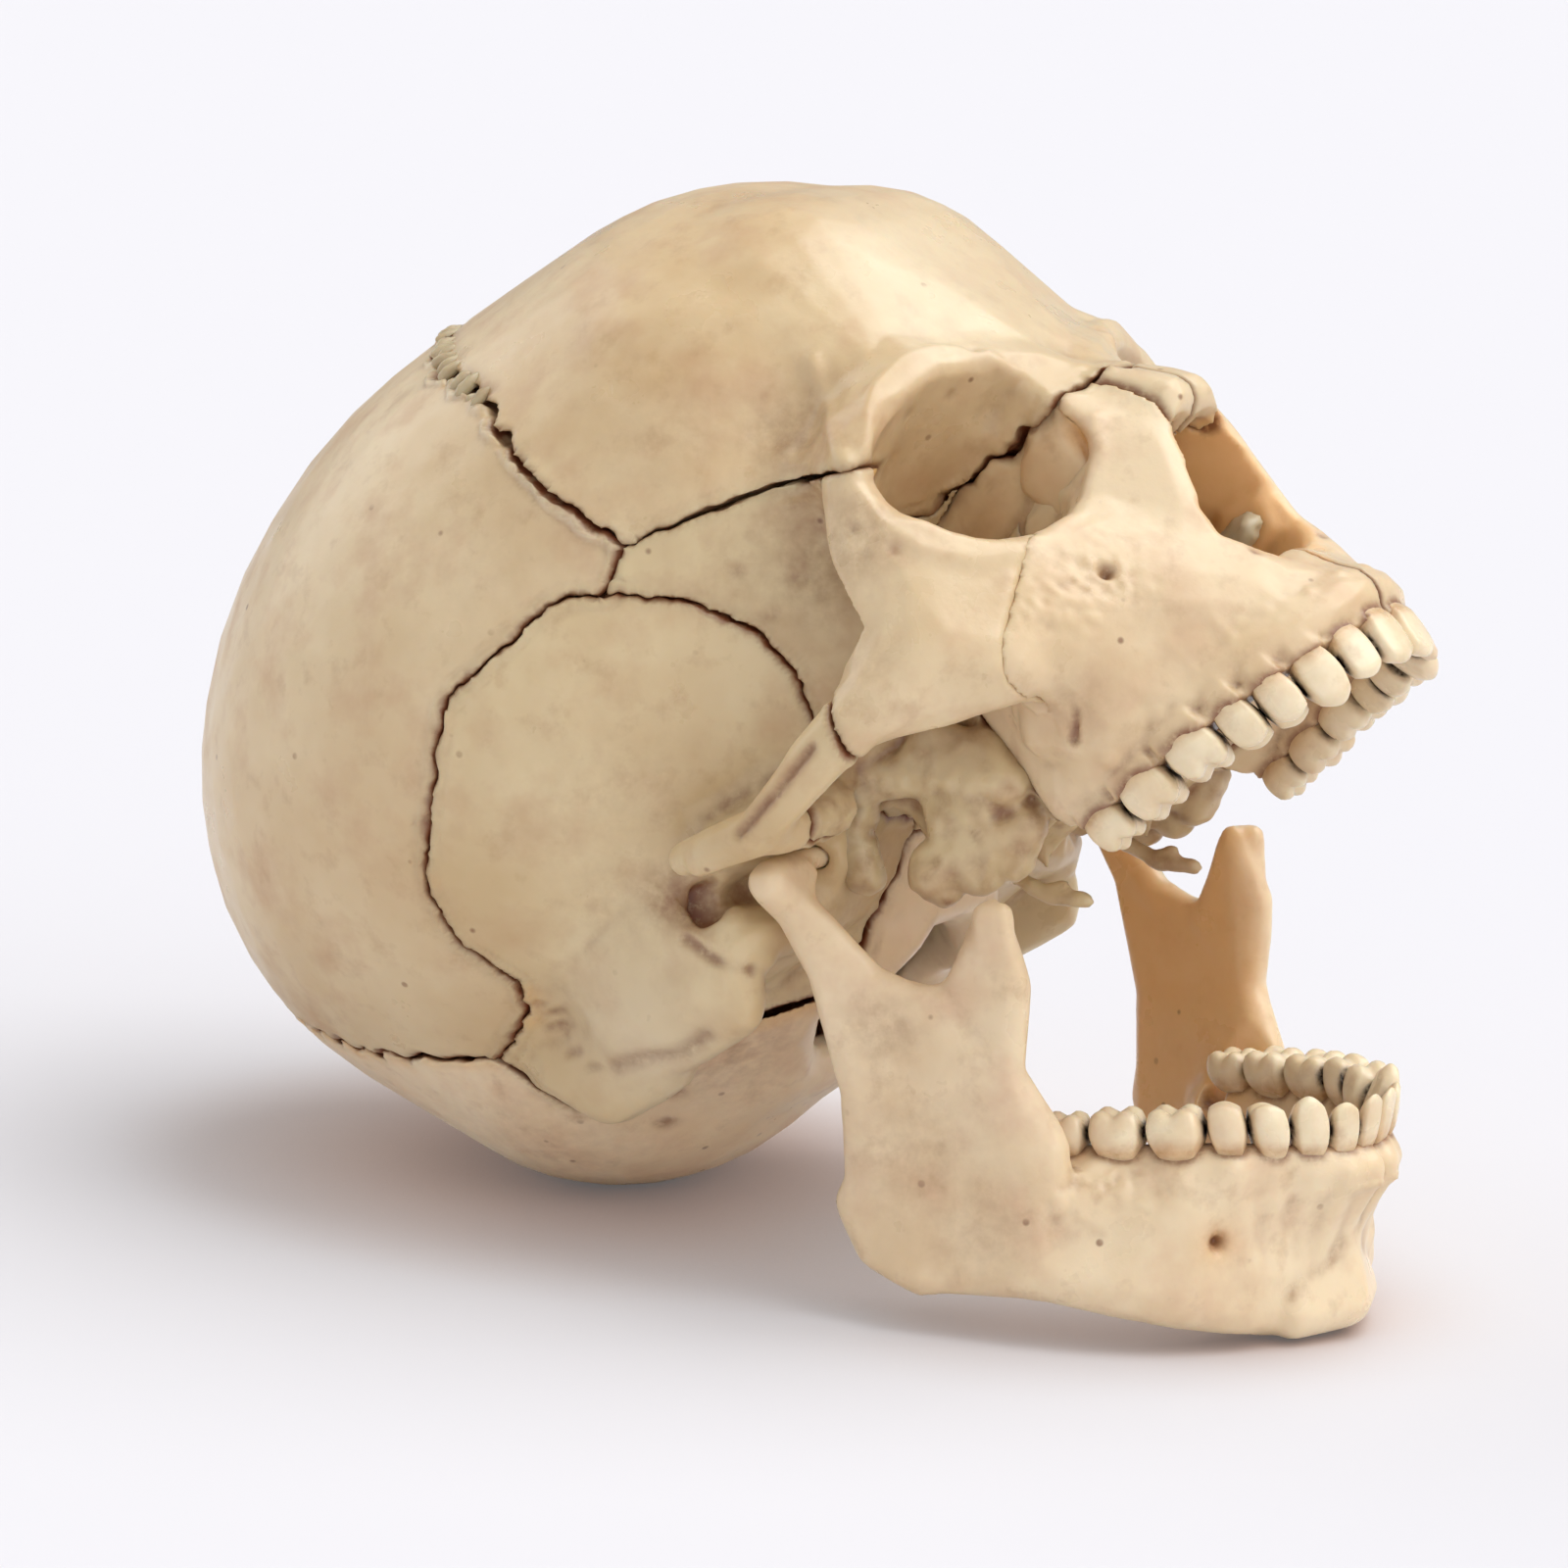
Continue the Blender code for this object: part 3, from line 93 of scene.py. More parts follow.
def add_node(tree, kind, settings=None, **links):
    """A shader node with its settings, its input values and the sockets that feed it."""
    node = tree.nodes.new(kind)
    for name, value in (settings or {}).items():
        setattr(node, name, value)
    for name, value in links.items():
        numbered = name[0] == "i" and name[1:].isdigit()
        socket = node.inputs[int(name[1:])] if numbered else node.inputs[name.replace("_", " ")]
        if isinstance(value, bpy.types.NodeSocket):
            tree.links.new(value, socket)
        else:
            socket.default_value = value
    return node
def combine(tree, operation, first, second, clamp=False):
    """Two values put through one sum."""
    settings = {"operation": operation, "use_clamp": clamp}
    return add_node(tree, "ShaderNodeMath", settings, i0=first, i1=second).outputs[0]


def ranged(tree, value, low, high, start=0.0, end=1.0):
    """A value taken from the span low to high over to the span start to end."""
    spans = {"From_Min": low, "From_Max": high, "To_Min": start, "To_Max": end}
    return add_node(tree, "ShaderNodeMapRange", Value=value, **spans).outputs[0]


def blend(tree, amount, first, second):
    """Two colours mixed, all first at 0 and all second at 1."""
    mix = add_node(tree, "ShaderNodeMix", {"data_type": "RGBA"}, i0=amount, i6=first, i7=second)
    return mix.outputs[2]

paper_mesh = bmesh.new()
bmesh.ops.create_grid(paper_mesh, x_segments=1, y_segments=1, size=FLOOR_HALF)
paper_data = bpy.data.meshes.new("paper")
paper_mesh.to_mesh(paper_data)
paper_mesh.free()
paper = bpy.data.objects.new("paper", paper_data)
bpy.context.scene.collection.objects.link(paper)

paper_material = bpy.data.materials.new("matt_white_paper")
paper_material.use_nodes = True
tree = paper_material.node_tree
tree.nodes.clear()
by_camera = add_node(tree, "ShaderNodeLightPath").outputs["Is Camera Ray"]
# painted shadow: the paper the camera sees turns warm brown where the skull is close
near = add_node(tree, "ShaderNodeAmbientOcclusion", Distance=PAINTED_SHADOW_REACH)
open_air = ranged(tree, near.outputs["AO"], 0.10, 0.85)
plain = combine(tree, "MAXIMUM", open_air, combine(tree, "SUBTRACT", 1.0, by_camera))
paper_with_painted_shadow = blend(tree, plain, linear(PAPER_PAINTED_SHADOW), linear(PAPER_SHADE))
diffuse = add_node(tree, "ShaderNodeBsdfDiffuse", Color=paper_with_painted_shadow)
glow = add_node(tree, "ShaderNodeEmission", Color=linear(PAPER), Strength=1.0)
seen = combine(tree, "MULTIPLY", by_camera, GLOW_SHARE)
mixed = add_node(tree, "ShaderNodeMixShader", i0=seen, i1=diffuse.outputs[0], i2=glow.outputs[0])
add_node(tree, "ShaderNodeOutputMaterial", Surface=mixed.outputs[0])
paper_data.materials.append(paper_material)

world = bpy.data.worlds.new("studio")
bpy.context.scene.world = world
world.use_nodes = True
tree = world.node_tree
tree.nodes.clear()
by_camera = add_node(tree, "ShaderNodeLightPath").outputs["Is Camera Ray"]
room = add_node(tree, "ShaderNodeBackground", Color=linear(ROOM), Strength=ROOM_STRENGTH)
backdrop = add_node(tree, "ShaderNodeBackground", Color=linear(PAPER), Strength=1.0)
mixed = add_node(tree, "ShaderNodeMixShader", i0=by_camera, i1=room.outputs[0], i2=backdrop.outputs[0])
add_node(tree, "ShaderNodeOutputWorld", Surface=mixed.outputs[0])


def add_sun(name, towards, spread_deg, strength):
    """Even light from one side of the studio, softened over a wide angle."""
    lamp = bpy.data.objects.new(name, bpy.data.lights.new(name, "SUN"))
    bpy.context.scene.collection.objects.link(lamp)
    lamp.data.energy = strength
    lamp.data.angle = math.radians(spread_deg)
    lamp.rotation_mode = "QUATERNION"
    lamp.rotation_quaternion = Vector(towards).to_track_quat("Z", "Y")


add_sun("overhead_softbox", (0.34, 0.34, 0.95), 58, 2.15)
add_sun("high_front_panel", (0.72, -0.05, 0.62), 50, 0.50)
add_sun("front_diffuser", (0.85, -0.52, 0.12), 90, 0.80)
add_sun("side_diffuser", (0.05, -0.98, 0.10), 100, 0.30)
add_sun("back_strip", (-0.9, -0.05, 0.45), 50, 0.75)


# Frontal
# The forehead, brow and roofs of the eye sockets: one thick moulding of bone-coloured plastic, with
# brown stain wiped into its seams and pits. Every bone is finished this way, and the fingers along
# the coronal seam stand proud of it.
SHARE = 0.052  # a tenth of a metre on a life-size skull, at this size
TIP_BACK_DEG = 51.5
EAR_SPOT = (0.022968, 0.0, 0.034873)  # midway between the ear openings
VAULT_MIDDLE = (-0.1, 0.0, 0.45)
MM = 0.001
SIDES = (("right", -1), ("left", 1))
noise.seed_set(3)  # the seams wander the same way each time
cranium_place = Matrix.Translation(EAR_SPOT) @ Matrix.Rotation(math.radians(-TIP_BACK_DEG), 4, "Y")


def spot_of(share, place=cranium_place):
    """A place given in shares of the upright skull, in metres on the table."""
    return place @ (Vector(share) * SHARE)


def as_object(name, bm):
    mesh = bpy.data.meshes.new(name)
    bm.to_mesh(mesh)
    bm.free()
    thing = bpy.data.objects.new(name, mesh)
    bpy.context.scene.collection.objects.link(thing)
    return thing


def apply_modifiers(thing):
    """The object with its modifiers applied to its own mesh."""
    bpy.context.view_layer.update()
    graph = bpy.context.evaluated_depsgraph_get()
    mesh = bpy.data.meshes.new_from_object(thing.evaluated_get(graph))
    thing.modifiers.clear()
    old = thing.data
    thing.data = mesh
    bpy.data.meshes.remove(old)
    return thing


def merged_copy(node):
    """The loose triangles of a CAD bone, merged."""
    bm = bmesh.new()
    bm.from_mesh(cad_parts[node].data)
    bmesh.ops.remove_doubles(bm, verts=bm.verts[:], dist=1e-6)
    return bm


def rounded(name, bm, grain_mm, rounding_mm):
    """A bone remeshed with an even grain and rounded, as a moulding is."""
    thing = as_object(name, bm)
    fine = thing.modifiers.new("fine", "REMESH")
    fine.mode = "VOXEL"
    fine.voxel_size = grain_mm * MM
    soft = thing.modifiers.new("soft", "SMOOTH")
    soft.factor = 0.5
    soft.iterations = max(1, round((rounding_mm / grain_mm) ** 2))
    return apply_modifiers(thing)


loose_meshes = {}
for node, cad_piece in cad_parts.items():
    corners = [cad_piece.matrix_world @ v.co for v in cad_piece.data.vertices]
    loose_meshes[node] = (corners, [tuple(face.vertices) for face in cad_piece.data.polygons])


def tree_of(nodes):
    """A search tree over the faces of some CAD bones."""
    points, faces = [], []
    for node in nodes:
        corners, polygons = loose_meshes[node]
        faces += [tuple(index + len(points) for index in polygon) for polygon in polygons]
        points += corners
    return BVHTree.FromPolygons(points, faces)


def pour(source, target):
    """Adds one bmesh to another and frees it."""
    skin = bpy.data.meshes.new("skin")
    source.to_mesh(skin)
    source.free()
    target.from_mesh(skin)
    bpy.data.meshes.remove(skin)


def add_hulls(bm, groups):
    """Adds a skin drawn round each group of balls. A ball is its middle and its radius, in metres."""
    for group in groups:
        hull = bmesh.new()
        for middle, radius in group:
            place = Matrix.Translation(middle)
            bmesh.ops.create_icosphere(hull, subdivisions=2, radius=radius, matrix=place)
        made = bmesh.ops.convex_hull(hull, input=hull.verts[:])
        spare = made["geom_interior"] + made["geom_unused"]
        inner = {part for part in spare if isinstance(part, bmesh.types.BMVert)}
        bmesh.ops.delete(hull, geom=list(inner), context="VERTS")
        bmesh.ops.recalc_face_normals(hull, faces=hull.faces[:])
        pour(hull, bm)
    return bm


def balls_of(side, groups, place=cranium_place):
    """Groups of (length, breadth, height, radius) shares as the balls of one side, in metres."""
    return [[(spot_of((x, side * y, z), place), r * SHARE) for x, y, z, r in group] for group in groups]


def both(*bones):
    """The names of the right and left bone of each kind."""
    return tuple(bone + "_" + side_name for bone in bones for side_name, side in SIDES)


def ripple(points, size_mm, seed=0.0):
    """Slow random values from -1 to 1 over a cloud of points."""
    scale = 1 / (size_mm * MM)
    shift = Vector((seed, seed * 2, seed * 3))
    return np.array([noise.noise(Vector(point) * scale + shift) for point in points])


def distance_to_path(points, path):
    """Least distance from each point to a line through the path's corners."""
    best = np.full(len(points), 1e9)
    for first, second in zip(path, path[1:]):
        first, second = np.array(first, dtype=float), np.array(second, dtype=float)
        run = second - first
        along = np.clip(((points - first) @ run) / max(run @ run, 1e-12), 0, 1)
        best = np.minimum(best, np.linalg.norm(points - first - along[:, None] * run, axis=1))
    return best


def hang(thing, marks, material, node, body, replaces=False):
    """Stores a piece's stain and painted light, gives it its plastic and hangs it on its body."""
    for name, amount in marks.items():
        layer = thing.data.attributes.new(name, "FLOAT", "POINT")
        layer.data.foreach_set("value", amount.astype(np.float32))
    thing.data.materials.clear()
    thing.data.materials.append(material)
    thing.data.shade_smooth()
    if replaces:
        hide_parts(node)
    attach(thing, body)


class Bone:
    """A fine bone while it is worked: marks are pressed into it, and its stain and painted light are worked
    out.
    """

    REACH = 1.6 * MM  # how far a bone looks for its neighbours
    GAP_MM = 0.42  # the gap that the CAD leaves between bones
    # middle, beyond that gap, and width of the bands beside a seam, in millimetres
    LIP, TROUGH, RIBBON = (0.45, 0.35), (0.95, 0.16), (0.34, 0.30)
    TROUGH_MM, RIBBON_MM = 0.12, 0.24
    JAG_COARSE, JAG_FINE = 420, 1050  # waves of the wandering seam, per metre

    def __init__(self, thing, place=cranium_place):
        self.thing = thing
        self.mesh = thing.data
        self.count = len(self.mesh.vertices)
        self.points = self.read("vertices", "co")
        self.normals = self.read("vertex_normals", "vector")
        back_turn = np.array(place.inverted())
        self.shares = (self.points @ back_turn[:3, :3].T + back_turn[:3, 3]) / SHARE
        self.side = np.where(self.shares[:, 1] < 0, -1.0, 1.0)
        self.breadth = np.abs(self.shares[:, 1])
        self.places = np.stack([self.shares[:, 0], self.breadth, self.shares[:, 2]], 1)
        self.outward = (self.normals @ back_turn[:3, :3].T)[:, 1] * self.side
        self.push = np.zeros(self.count)
        self.near_seam = np.zeros(self.count)
        self.marks = {name: np.zeros(self.count) for name in ("ink", "wash", "seam", "amber", "pale")}

    def read(self, items, name):
        """One row of three numbers for each point of the mesh."""
        values = np.empty(self.count * 3)
        getattr(self.mesh, items).foreach_get(name, values)
        return values.reshape(-1, 3)

    def stain(self, name, amount, chosen=slice(None)):
        self.marks[name][chosen] = np.maximum(self.marks[name][chosen], amount)

    def mark(self, shape, depth_mm, marks, chosen=slice(None)):
        """Presses a shape of values from 0 to 1 in and lays its stain and painted light on it. A minus
        depth raises it.
        """
        self.push[chosen] -= shape * depth_mm * MM
        for name, amount in marks.items():
            self.stain(name, shape * amount, chosen)

    def line(self, path, width_mm, depth_mm, reach=(0.0, 2.0), facing=0.15, **marks):
        """A groove along a side path of (length, height) shares."""
        near = (self.outward > facing) & (self.breadth > reach[0]) & (self.breadth < reach[1])
        gap = distance_to_path(self.shares[:, (0, 2)], path) * SHARE
        chosen = np.nonzero(near & (gap < 3 * width_mm * MM))[0]
        self.mark(np.exp(-((gap[chosen] / (width_mm * MM)) ** 2)), depth_mm, marks, chosen)

    def edge_line(self, path, width_mm, depth_mm, **marks):
        """A groove along a path of (length, breadth, height) shares, on both sides."""
        gap = distance_to_path(self.places, path) * SHARE
        self.mark(np.exp(-((gap / (width_mm * MM)) ** 2)), depth_mm, marks)

    def dent(self, centre, radius_mm, depth_mm, squash=(1, 1, 1), **marks):
        """A round hollow at a place of shares, on both sides."""
        offset = (self.places - centre) * SHARE / np.array(squash)
        self.mark(np.exp(-((offset**2).sum(1) / (radius_mm * MM) ** 2)), depth_mm, marks)

    def press(self):
        """Moves the surface by all the marks pressed so far."""
        self.points += self.normals * self.push[:, None]
        self.push[:] = 0

    def average(self, values, rounds):
        """Values spread over the mesh by averaging along its edges."""
        if not hasattr(self, "edges"):
            flat = np.empty(len(self.mesh.edges) * 2, dtype=int)
            self.mesh.edges.foreach_get("vertices", flat)
            self.edges = flat.reshape(-1, 2).T
            self.valence = np.bincount(flat, minlength=self.count)
        a, b = self.edges
        for _ in range(rounds):
            total = np.bincount(a, weights=values[b], minlength=self.count)
            total += np.bincount(b, weights=values[a], minlength=self.count)
            values = total / np.maximum(self.valence, 1)
        return values

    def mottle(self, least, middle, contrast, size_mm, seed):
        """Cloudy values between a least value and 1."""
        clouds = np.clip(middle + ripple(self.points, size_mm, seed) * contrast, 0, 1)
        return least + (1 - least) * clouds

    def meet(self, others, open_mm, lip_mm=0.10, ink=1.0, jag_mm=0.0, trough=0.0, ribbon=0.0):
        """Draws the bone up to its neighbours, so that the seam is as open as it should be, and
        stains it. A lip, a trough and a pale ribbon can run along it."""
        neighbours = tree_of(others)
        shift = np.zeros((self.count, 3))
        gap = np.full(self.count, self.REACH)
        for index, point in enumerate(self.points):
            found = neighbours.find_nearest(Vector(point), self.REACH)
            if found[3] is not None:
                gap[index] = found[3]
                shift[index] = np.array(found[0]) - point
        close = gap < self.REACH
        past = gap - self.GAP_MM * MM
        unit = shift / np.maximum(gap, 1e-7)[:, None]
        fade = np.clip(1 - past / (self.REACH - self.GAP_MM * MM), 0, 1) * close
        move = fade * (self.GAP_MM - open_mm) / 2 * MM
        self.points += unit * np.minimum(move, np.maximum(gap - open_mm * MM / 2, 0))[:, None]
        wall = (unit * self.normals).sum(1)
        outside = np.clip(1 - wall * 1.5, 0, 1)

        def band(middle_mm, width_mm):
            away = (gap - (self.GAP_MM + middle_mm) * MM) / (width_mm * MM)
            return np.exp(-(away**2)) * close * outside

        self.near_seam = np.maximum(self.near_seam, close * np.clip(1.3 - gap / MM, 0, 1))
        self.push += band(*self.LIP) * lip_mm * MM
        if trough:
            beyond = band(*self.TROUGH) * self.mottle(0.35, 0.5, 1.6, 2.0, 2.0)
            self.push -= beyond * self.TROUGH_MM * MM
            self.stain("wash", beyond * trough)
        if ribbon:
            raised = band(*self.RIBBON) * self.mottle(0.5, 0.6, 1.8, 1.3, 5.0)
            self.push += raised * ribbon * self.RIBBON_MM * MM
            self.stain("pale", raised * ribbon)
        inside = np.clip((wall - 0.62) / 0.30, 0, 1) * close
        halo = np.clip(1 - past / (0.42 * MM), 0, 1) * close * self.mottle(0.4, 0.5, 1.0, 2.4, 8.0)
        self.stain("wash", halo * 0.7 * min(1.0, ink) * (1 - ribbon))
        self.stain("ink", inside * ink * np.clip((0.80 - gap / MM) / 0.25, 0, 1))
        self.stain("wash", inside * ink * 0.9)
        self.stain("seam", np.clip(1 - past / (0.9 * MM), 0, 1) * close * min(1.0, ink * 2))
        self.press()
        if jag_mm:
            # one field of small sideways shifts, shared by both bones: the seam wanders but stays even
            fade = np.clip(1.2 - past / (1.4 * MM), 0, 1) * close
            middle = np.array(spot_of(VAULT_MIDDLE))
            for index in np.nonzero(fade)[0]:
                spot = self.points[index]
                shift = noise.noise_vector(Vector(spot) * self.JAG_COARSE)
                shift += noise.noise_vector(Vector(spot) * self.JAG_FINE) * 0.55
                out = Vector(spot - middle).normalized()
                shift -= out * shift.dot(out)
                self.points[index] += np.array(shift) * fade[index] * jag_mm * MM

    def finish(self, node, body, colours, also_hollow=1.0, amber_depth_mm=0.0, **looks):
        """Works out hollows and thin places, stains the hollows, paints the thin places with a glow
        of light shining through, and hangs the bone on its body.
        """
        self.press()
        self.mesh.vertices.foreach_set("co", self.points.ravel())
        self.mesh.update()
        self.normals = self.read("vertex_normals", "vector")
        wide = np.stack([self.average(self.points[:, k], 10) for k in range(3)], 1)
        depth = ((wide - self.points) * self.normals).sum(1) / MM
        also_hollow = also_hollow * (1 - self.near_seam)
        self.stain("ink", np.clip((depth - 0.10) / 0.22, 0, 1) * 0.8 * also_hollow)
        self.stain("wash", np.clip((depth - 0.02) / 0.12, 0, 1) * 0.8 * also_hollow)
        # painted glow: the thinner the plastic, the more glow of light shining through is painted on
        if amber_depth_mm:
            own = tree_of([node])
            thin = np.zeros(self.count)
            for index, point in enumerate(self.points):
                inward = -Vector(self.normals[index])
                found = own.ray_cast(Vector(point) + inward * 0.2 * MM, inward, amber_depth_mm * MM)
                if found[3] is not None and found[1].dot(inward) > 0:
                    thin[index] = 1 - found[3] / (amber_depth_mm * MM)
            self.stain("amber", self.average(thin, 3))
        marks = {name: np.clip(self.average(mark, 1), 0, 1) for name, mark in self.marks.items()}
        plastic = stained_plastic(node + "_stained_abs", colours, **looks)
        hang(self.thing, marks, plastic, node, body, replaces=True)


def worked(node, grain_mm, rounding_mm, parts=()):
    """A bone's fine copy, with balls of plastic set into it, ready for its marks."""
    return Bone(rounded(node + "_bone", add_hulls(merged_copy(node), parts), grain_mm, rounding_mm))


def stained_plastic(name, colours, rough=(0.26, 0.44), blotch_mm=16, ink="7c4226"):
    """Bone-coloured ABS, injection moulded and satin. Brown stain is wiped off all but the hollows,
    so it stays as ink in the seams, as a brown layer in the dips and as a faint pinkish cloud elsewhere.
    Painted light rides on the same layers: painted shade in the temple hollow and between the teeth, a
    painted highlight on the forehead, painted light on the lobe behind the ear, and a painted glow of
    light shining through where the plastic is thin."""
    base, warm, blush = colours
    material = bpy.data.materials.new(name)
    material.use_nodes = True
    tree = material.node_tree
    shader = tree.nodes["Principled BSDF"]
    spot = add_node(tree, "ShaderNodeTexCoord").outputs["Object"]

    def cloud(size_mm, roughness=0.6):
        grain = {"Scale": 1 / (size_mm * MM), "Detail": 4.0, "Roughness": roughness}
        return add_node(tree, "ShaderNodeTexNoise", Vector=spot, **grain).outputs["Fac"]

    def clouds(size_mm, low, high, top=1.0):
        return ranged(tree, cloud(size_mm), low, high, 0.0, top)

    def mark(name, share):
        layer = add_node(tree, "ShaderNodeAttribute", {"attribute_name": name}).outputs["Fac"]
        return combine(tree, "MULTIPLY", layer, share, clamp=True)

    specks = add_node(tree, "ShaderNodeTexVoronoi", Vector=spot, Scale=1 / (4.5 * MM))
    speck = ranged(tree, specks.outputs["Distance"], 0.045, 0.085, 0.75, 0.0)
    faint = cloud(7)
    layers = (
        (clouds(blotch_mm, 0.40, 0.66, 0.85), warm),
        (ranged(tree, faint, 0.50, 0.74, 0.0, 0.55), blush),
        (clouds(3, 0.56, 0.80, 0.40), "a97f58"),
        (mark("seam", 0.38), "a79d7c"),
        # brown stain in seams and dips, and painted shade in the temple hollow
        (mark("wash", clouds(1.6, 0.25, 0.65)), "8f623f"),
        # pale bone along the seams, a painted highlight on the forehead, painted light on the ear's lobe
        (mark("pale", 0.85), "f3e8cc"),
        # a painted glow of light shining through thin plastic
        (mark("amber", 0.75), "f3b970"),
        (combine(tree, "MULTIPLY", speck, clouds(9, 0.45, 0.58), clamp=True), "7b4c30"),
        # dark stain in seams and pits, and painted shade between the teeth and round their necks
        (mark("ink", clouds(0.9, 0.22, 0.50)), ink),
    )
    colour = linear(base)
    for amount, tint in layers:
        colour = blend(tree, amount, colour, linear(tint))
    tree.links.new(colour, shader.inputs["Base Color"])
    tree.links.new(ranged(tree, faint, 0.3, 0.7, *rough), shader.inputs["Roughness"])
    shader.inputs["IOR"].default_value = 1.50
    shader.inputs["Subsurface Weight"].default_value = 0.18
    shader.inputs["Subsurface Radius"].default_value = (1.0, 0.42, 0.16)
    shader.inputs["Subsurface Scale"].default_value = 1.8 * MM
    peel = cloud(1.8, 0.55)
    bump = add_node(tree, "ShaderNodeBump", Strength=0.45, Distance=0.10 * MM, Height=peel)
    tree.links.new(bump.outputs[0], shader.inputs["Normal"])
    return material


VAULT_GRAIN_MM = 0.36
FACE_GRAIN_MM = 0.32
CORONAL_TOP = ((0.135, 0.16, 1.07), (0.17, 0.30, 0.99), (0.215, 0.42, 0.89), (0.275, 0.50, 0.80))
frontal = worked("frontal", VAULT_GRAIN_MM, 0.62)
frontal.meet(both("parietal"), 0.26, 0.16, jag_mm=0.55)
frontal.meet(("sphenoid",), 0.04, 0.12, ink=0.6, jag_mm=0.25, trough=0.6)
frontal.meet(both("zygomatic"), 0.16, 0.06, ink=0.8)
frontal.meet(both("maxilla", "nasal") + ("ethmoid",) + both("lacrimal"), 0.42, 0.06, jag_mm=0.6)
# the hollow of the temple behind the brow's outer pillar, and the sharp line between the two
pillar = ((0.690, 0.515, 0.235), (0.696, 0.490, 0.300), (0.690, 0.420, 0.375), (0.700, 0.375, 0.440))
temple_line = ((0.700, 0.375, 0.440), (0.680, 0.365, 0.540), (0.600, 0.405, 0.640), (0.500, 0.450, 0.720))
# painted shade: a soft brown is laid in the temple hollow behind the pillar
frontal.dent((0.635, 0.465, 0.375), 4.0, 1.2, wash=0.60)
frontal.dent((0.560, 0.490, 0.380), 5.0, 0.5, wash=0.12)
frontal.dent((0.500, 0.500, 0.500), 8.0, 0.25, wash=0.15)
frontal.edge_line(pillar, 0.8, -0.45)
frontal.edge_line(temple_line, 2.2, -0.30)
# the crisp rim of the eye socket, a notch in it, and pits in its roof
rim = (
    (0.725, 0.480, 0.245), (0.750, 0.452, 0.290), (0.770, 0.411, 0.322), (0.801, 0.342, 0.341),
    (0.822, 0.250, 0.335), (0.845, 0.195, 0.290), (0.846, 0.162, 0.245),
)
pits = (
    (0.74, 0.33, 0.29, 0.7), (0.70, 0.30, 0.24, 0.5), (0.78, 0.25, 0.27, 0.5), (0.66, 0.36, 0.22, 0.6),
)
frontal.edge_line(rim, 0.65, -0.45)
frontal.edge_line(CORONAL_TOP, 1.1, 0.30, ink=0.35, wash=0.85)
frontal.dent((0.842, 0.205, 0.312), 0.8, 0.5, wash=0.4)
for x, y, z, size_mm in pits:
    frontal.dent((x, y, z), size_mm, 0.25, ink=0.45)
frontal.dent((0.70, 0.25, 0.25), 5.0, 0.0, wash=0.12)
# painted highlight: the top of the forehead, where it faces up and forward to the lamps, is painted paler
upward = frontal.normals @ np.array(Vector((0.61, 0.20, 0.76)).normalized())
painted_highlight = np.clip((upward - 0.70) / 0.30, 0, 1) * frontal.mottle(0.0, 0.62, 0.8, 18.0, 1.0)
frontal.stain("pale", painted_highlight * 0.5)
frontal.press()
brow_colours = ("dcc49b", "cbab7e", "bf9470")
frontal.finish("frontal", "cranium", brow_colours, also_hollow=0.5, rough=(0.24, 0.40))


def steps_along(corners, count):
    """Evenly spaced places along a path of (length, breadth, height) shares."""
    corners = [Vector(corner) for corner in corners]
    lengths = [(b - a).length for a, b in zip(corners, corners[1:])]
    places = []
    for step in range(count):
        reach = sum(lengths) * step / (count - 1)
        index = 0
        while index < len(lengths) - 1 and reach > lengths[index]:
            reach -= lengths[index]
            index += 1
        places.append(tuple(corners[index].lerp(corners[index + 1], min(1.0, reach / lengths[index]))))
    return places


FINGERS = steps_along(CORONAL_TOP, 17)
FINGER_MM = (0.85, 0.48, 0.55)
finger_plastic = stained_plastic("seam_finger_abs", ("cdbf9c", "b7a680", "a5906c"))


def finger_row(name, side, first, node, body, seed):
    """Rounded fingers laid across the coronal seam, every other one from this bone."""
    chance = random.Random(seed)
    skin = tree_of(("frontal",) + both("parietal"))
    middle = spot_of(VAULT_MIDDLE)
    bm = bmesh.new()
    for index in range(first, len(FINGERS), 2):
        x, breadth, z = FINGERS[index]
        aim = spot_of((x, side * breadth, z)) - middle
        found = skin.ray_cast(middle + aim * 2.0, -aim.normalized())
        if found[0] is None:
            continue
        out = found[1]
        after, before = FINGERS[min(index + 1, len(FINGERS) - 1)], FINGERS[max(index - 1, 0)]
        along = spot_of((after[0], 0, after[2])) - spot_of((before[0], 0, before[2]))
        across = out.cross(along).normalized()
        across = (across + along.normalized() * chance.uniform(0.10, 0.80)).normalized()
        aside = out.cross(across).normalized()
        long, wide, tall = (size_mm * chance.uniform(0.85, 1.15) * MM for size_mm in FINGER_MM)
        turn = Matrix((across, aside, out)).transposed().to_4x4()
        ball = bmesh.ops.create_uvsphere(bm, u_segments=20, v_segments=12, radius=wide)["verts"]
        bend = chance.uniform(-0.35, 0.35)
        for vertex in ball:
            ahead = max(-1.0, min(1.0, vertex.co.x / (wide * 0.35)))
            x = vertex.co.x + ahead * long
            y = vertex.co.y * (1 - 0.25 * abs(ahead)) + bend * wide * ahead * ahead
            vertex.co = Vector((x, y, vertex.co.z * tall / wide - 0.20 * MM * ahead * ahead))
        bmesh.ops.transform(bm, matrix=Matrix.Translation(found[0]) @ turn, verts=ball)
    thing = as_object(name, bm)
    for vertex in thing.data.vertices:
        crumpled = [noise.noise(vertex.co * 1400 + Vector((k * 7.0, 0, 0))) for k in range(3)]
        vertex.co += Vector(crumpled) * 0.16 * MM
    everywhere = np.ones(len(thing.data.vertices))
    hang(thing, {"wash": everywhere * 0.25, "seam": everywhere * 0.75}, finger_plastic, node, body)
for side_name, side in SIDES:
    finger_row("coronal_fingers_front_" + side_name, side, 0, "frontal", "cranium", 11)

